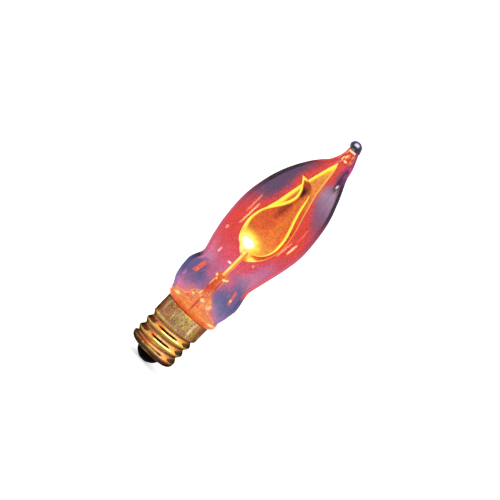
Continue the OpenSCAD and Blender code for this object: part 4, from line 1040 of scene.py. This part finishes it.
def makeTent(setup):  # the glass's sharp mirror sees this dim tent in place of the white surrounding
    material, tree, surface = newMaterial("tentCloth")
    sharp = put(tree, "ShaderNodeLightPath").outputs["Is Singular Ray"]
    light = put(tree, "ShaderNodeEmission", {"Color": tone(*setup["colour"]), "Strength": setup["strength"]})
    clear = put(tree, "ShaderNodeBsdfTransparent", {"Color": (1, 1, 1, 1)})
    both = put(tree, "ShaderNodeMixShader", {0: sharp, 1: clear.outputs[0], 2: light.outputs[0]})
    tree.links.new(both.outputs[0], surface)
    reach, low, high = setup["reach"], -0.02 * mm, setup["high"]
    corners = [(x, y, z) for z in (low, high) for x, y in ((-reach, -reach), (reach, -reach), (reach, reach), (-reach, reach))]
    faces = [(0, 1, 2, 3), (4, 5, 6, 7)] + [(i, (i + 1) % 4, (i + 1) % 4 + 4, i + 4) for i in range(4)]
    onlyReflected(makeStageSheet("tent", corners, material, faces))


def makeCards(setup):
    glassTree = BVHTree.FromPolygons([v.co.copy() for v in envelope.data.vertices], [tuple(p.vertices) for p in envelope.data.polygons])
    slope = math.radians(46.2)  # the lamp's axis in the photo, as its outlines were measured
    rows, columns = setup["rows"], setup["columns"]
    for n, ((footLeft, footRight, topRight, topLeft), strength, colour, reach) in enumerate(setup["shapes"]):
        corners = []
        for i in range((rows + 1) * (columns + 1)):
            rise, shift = divmod(i, columns + 1)
            sides = [[between(a, b, rise / rows) for a, b in zip(foot, top)] for foot, top in ((footLeft, topLeft), (footRight, topRight))]
            across, up = (between(a, b, shift / columns) for a, b in zip(*sides))
            column = math.cos(slope) * (up - 160.8) + math.sin(slope) * (across + 351.5)
            row = -math.sin(slope) * (up - 160.8) + math.cos(slope) * (across + 351.5)
            onPlane = view["target"] + (view["right"] * (column - 250) - view["up"] * (row - 250)) * photoCamera["pixel"]
            way = (onPlane - view["place"]).normalized()
            hit, _, face, _ = glassTree.ray_cast(view["place"], way)
            if hit is None:
                break
            ring = [envelope.data.vertices[v] for v in envelope.data.polygons[face].vertices]
            weights = poly_3d_calc([v.co for v in ring], hit)
            normal = sum((v.normal * w for v, w in zip(ring, weights)), Vector()).normalized()
            corners.append(hit + (way - 2 * way.dot(normal) * normal) * reach)
        if len(corners) < (rows + 1) * (columns + 1):
            print("card left out:", n)
            continue
        glow = [math.sqrt(max(math.sin(math.pi * (i % (columns + 1)) / columns) * math.sin(math.pi * (i // (columns + 1)) / rows), 0.0))
                for i in range(len(corners))]
        foot = [i * (columns + 1) + k for i in range(rows) for k in range(columns)]
        faces = [(i, i + 1, i + columns + 2, i + columns + 1) for i in foot]
        material, tree, surface = newMaterial(f"cardLight{n}")
        rays = put(tree, "ShaderNodeLightPath").outputs
        length = maths(tree, "DIVIDE", rays["Ray Length"], reach)  # 1 from the place that the card is set for
        sharp = maths(tree, "MULTIPLY", rays["Is Singular Ray"], hump(tree, length, 0.95, 0.97, 1.03, 1.05))
        light = put(tree, "ShaderNodeEmission", {"Color": tone(*colour), "Strength": strength})
        clear = put(tree, "ShaderNodeBsdfTransparent", {"Color": (1, 1, 1, 1)})
        share = maths(tree, "MULTIPLY", sharp, put(tree, "ShaderNodeAttribute", attribute_name="cardGlow").outputs["Fac"])
        card = put(tree, "ShaderNodeMixShader", {0: share, 1: clear.outputs[0], 2: light.outputs[0]})
        tree.links.new(card.outputs[0], surface)
        sheet = makeStageSheet(f"card{n}", corners, material, faces)
        sheet.data.attributes.new("cardGlow", "FLOAT", "POINT").data.foreach_set("value", glow)
        onlyReflected(sheet)


makeFloor(stage)
makeWorld(stage)
makePanels(panels)
makeTent(tent)
makeCards(cards)
for lamp in (addLamp("keyLamp", (-0.45, -0.7, 0.75), 0.5, 4.2), addLamp("fillLamp", (0.75, -0.45, 0.45), 0.6, 2.0),
             addLamp("rearLamp", (0.1, 0.8, 0.6), 0.5, 1.6)):
    lamp.visible_glossy = False
print("stage ready")

scene.view_settings.view_transform = "Standard"
scene.cycles.transparent_max_bounces = 32
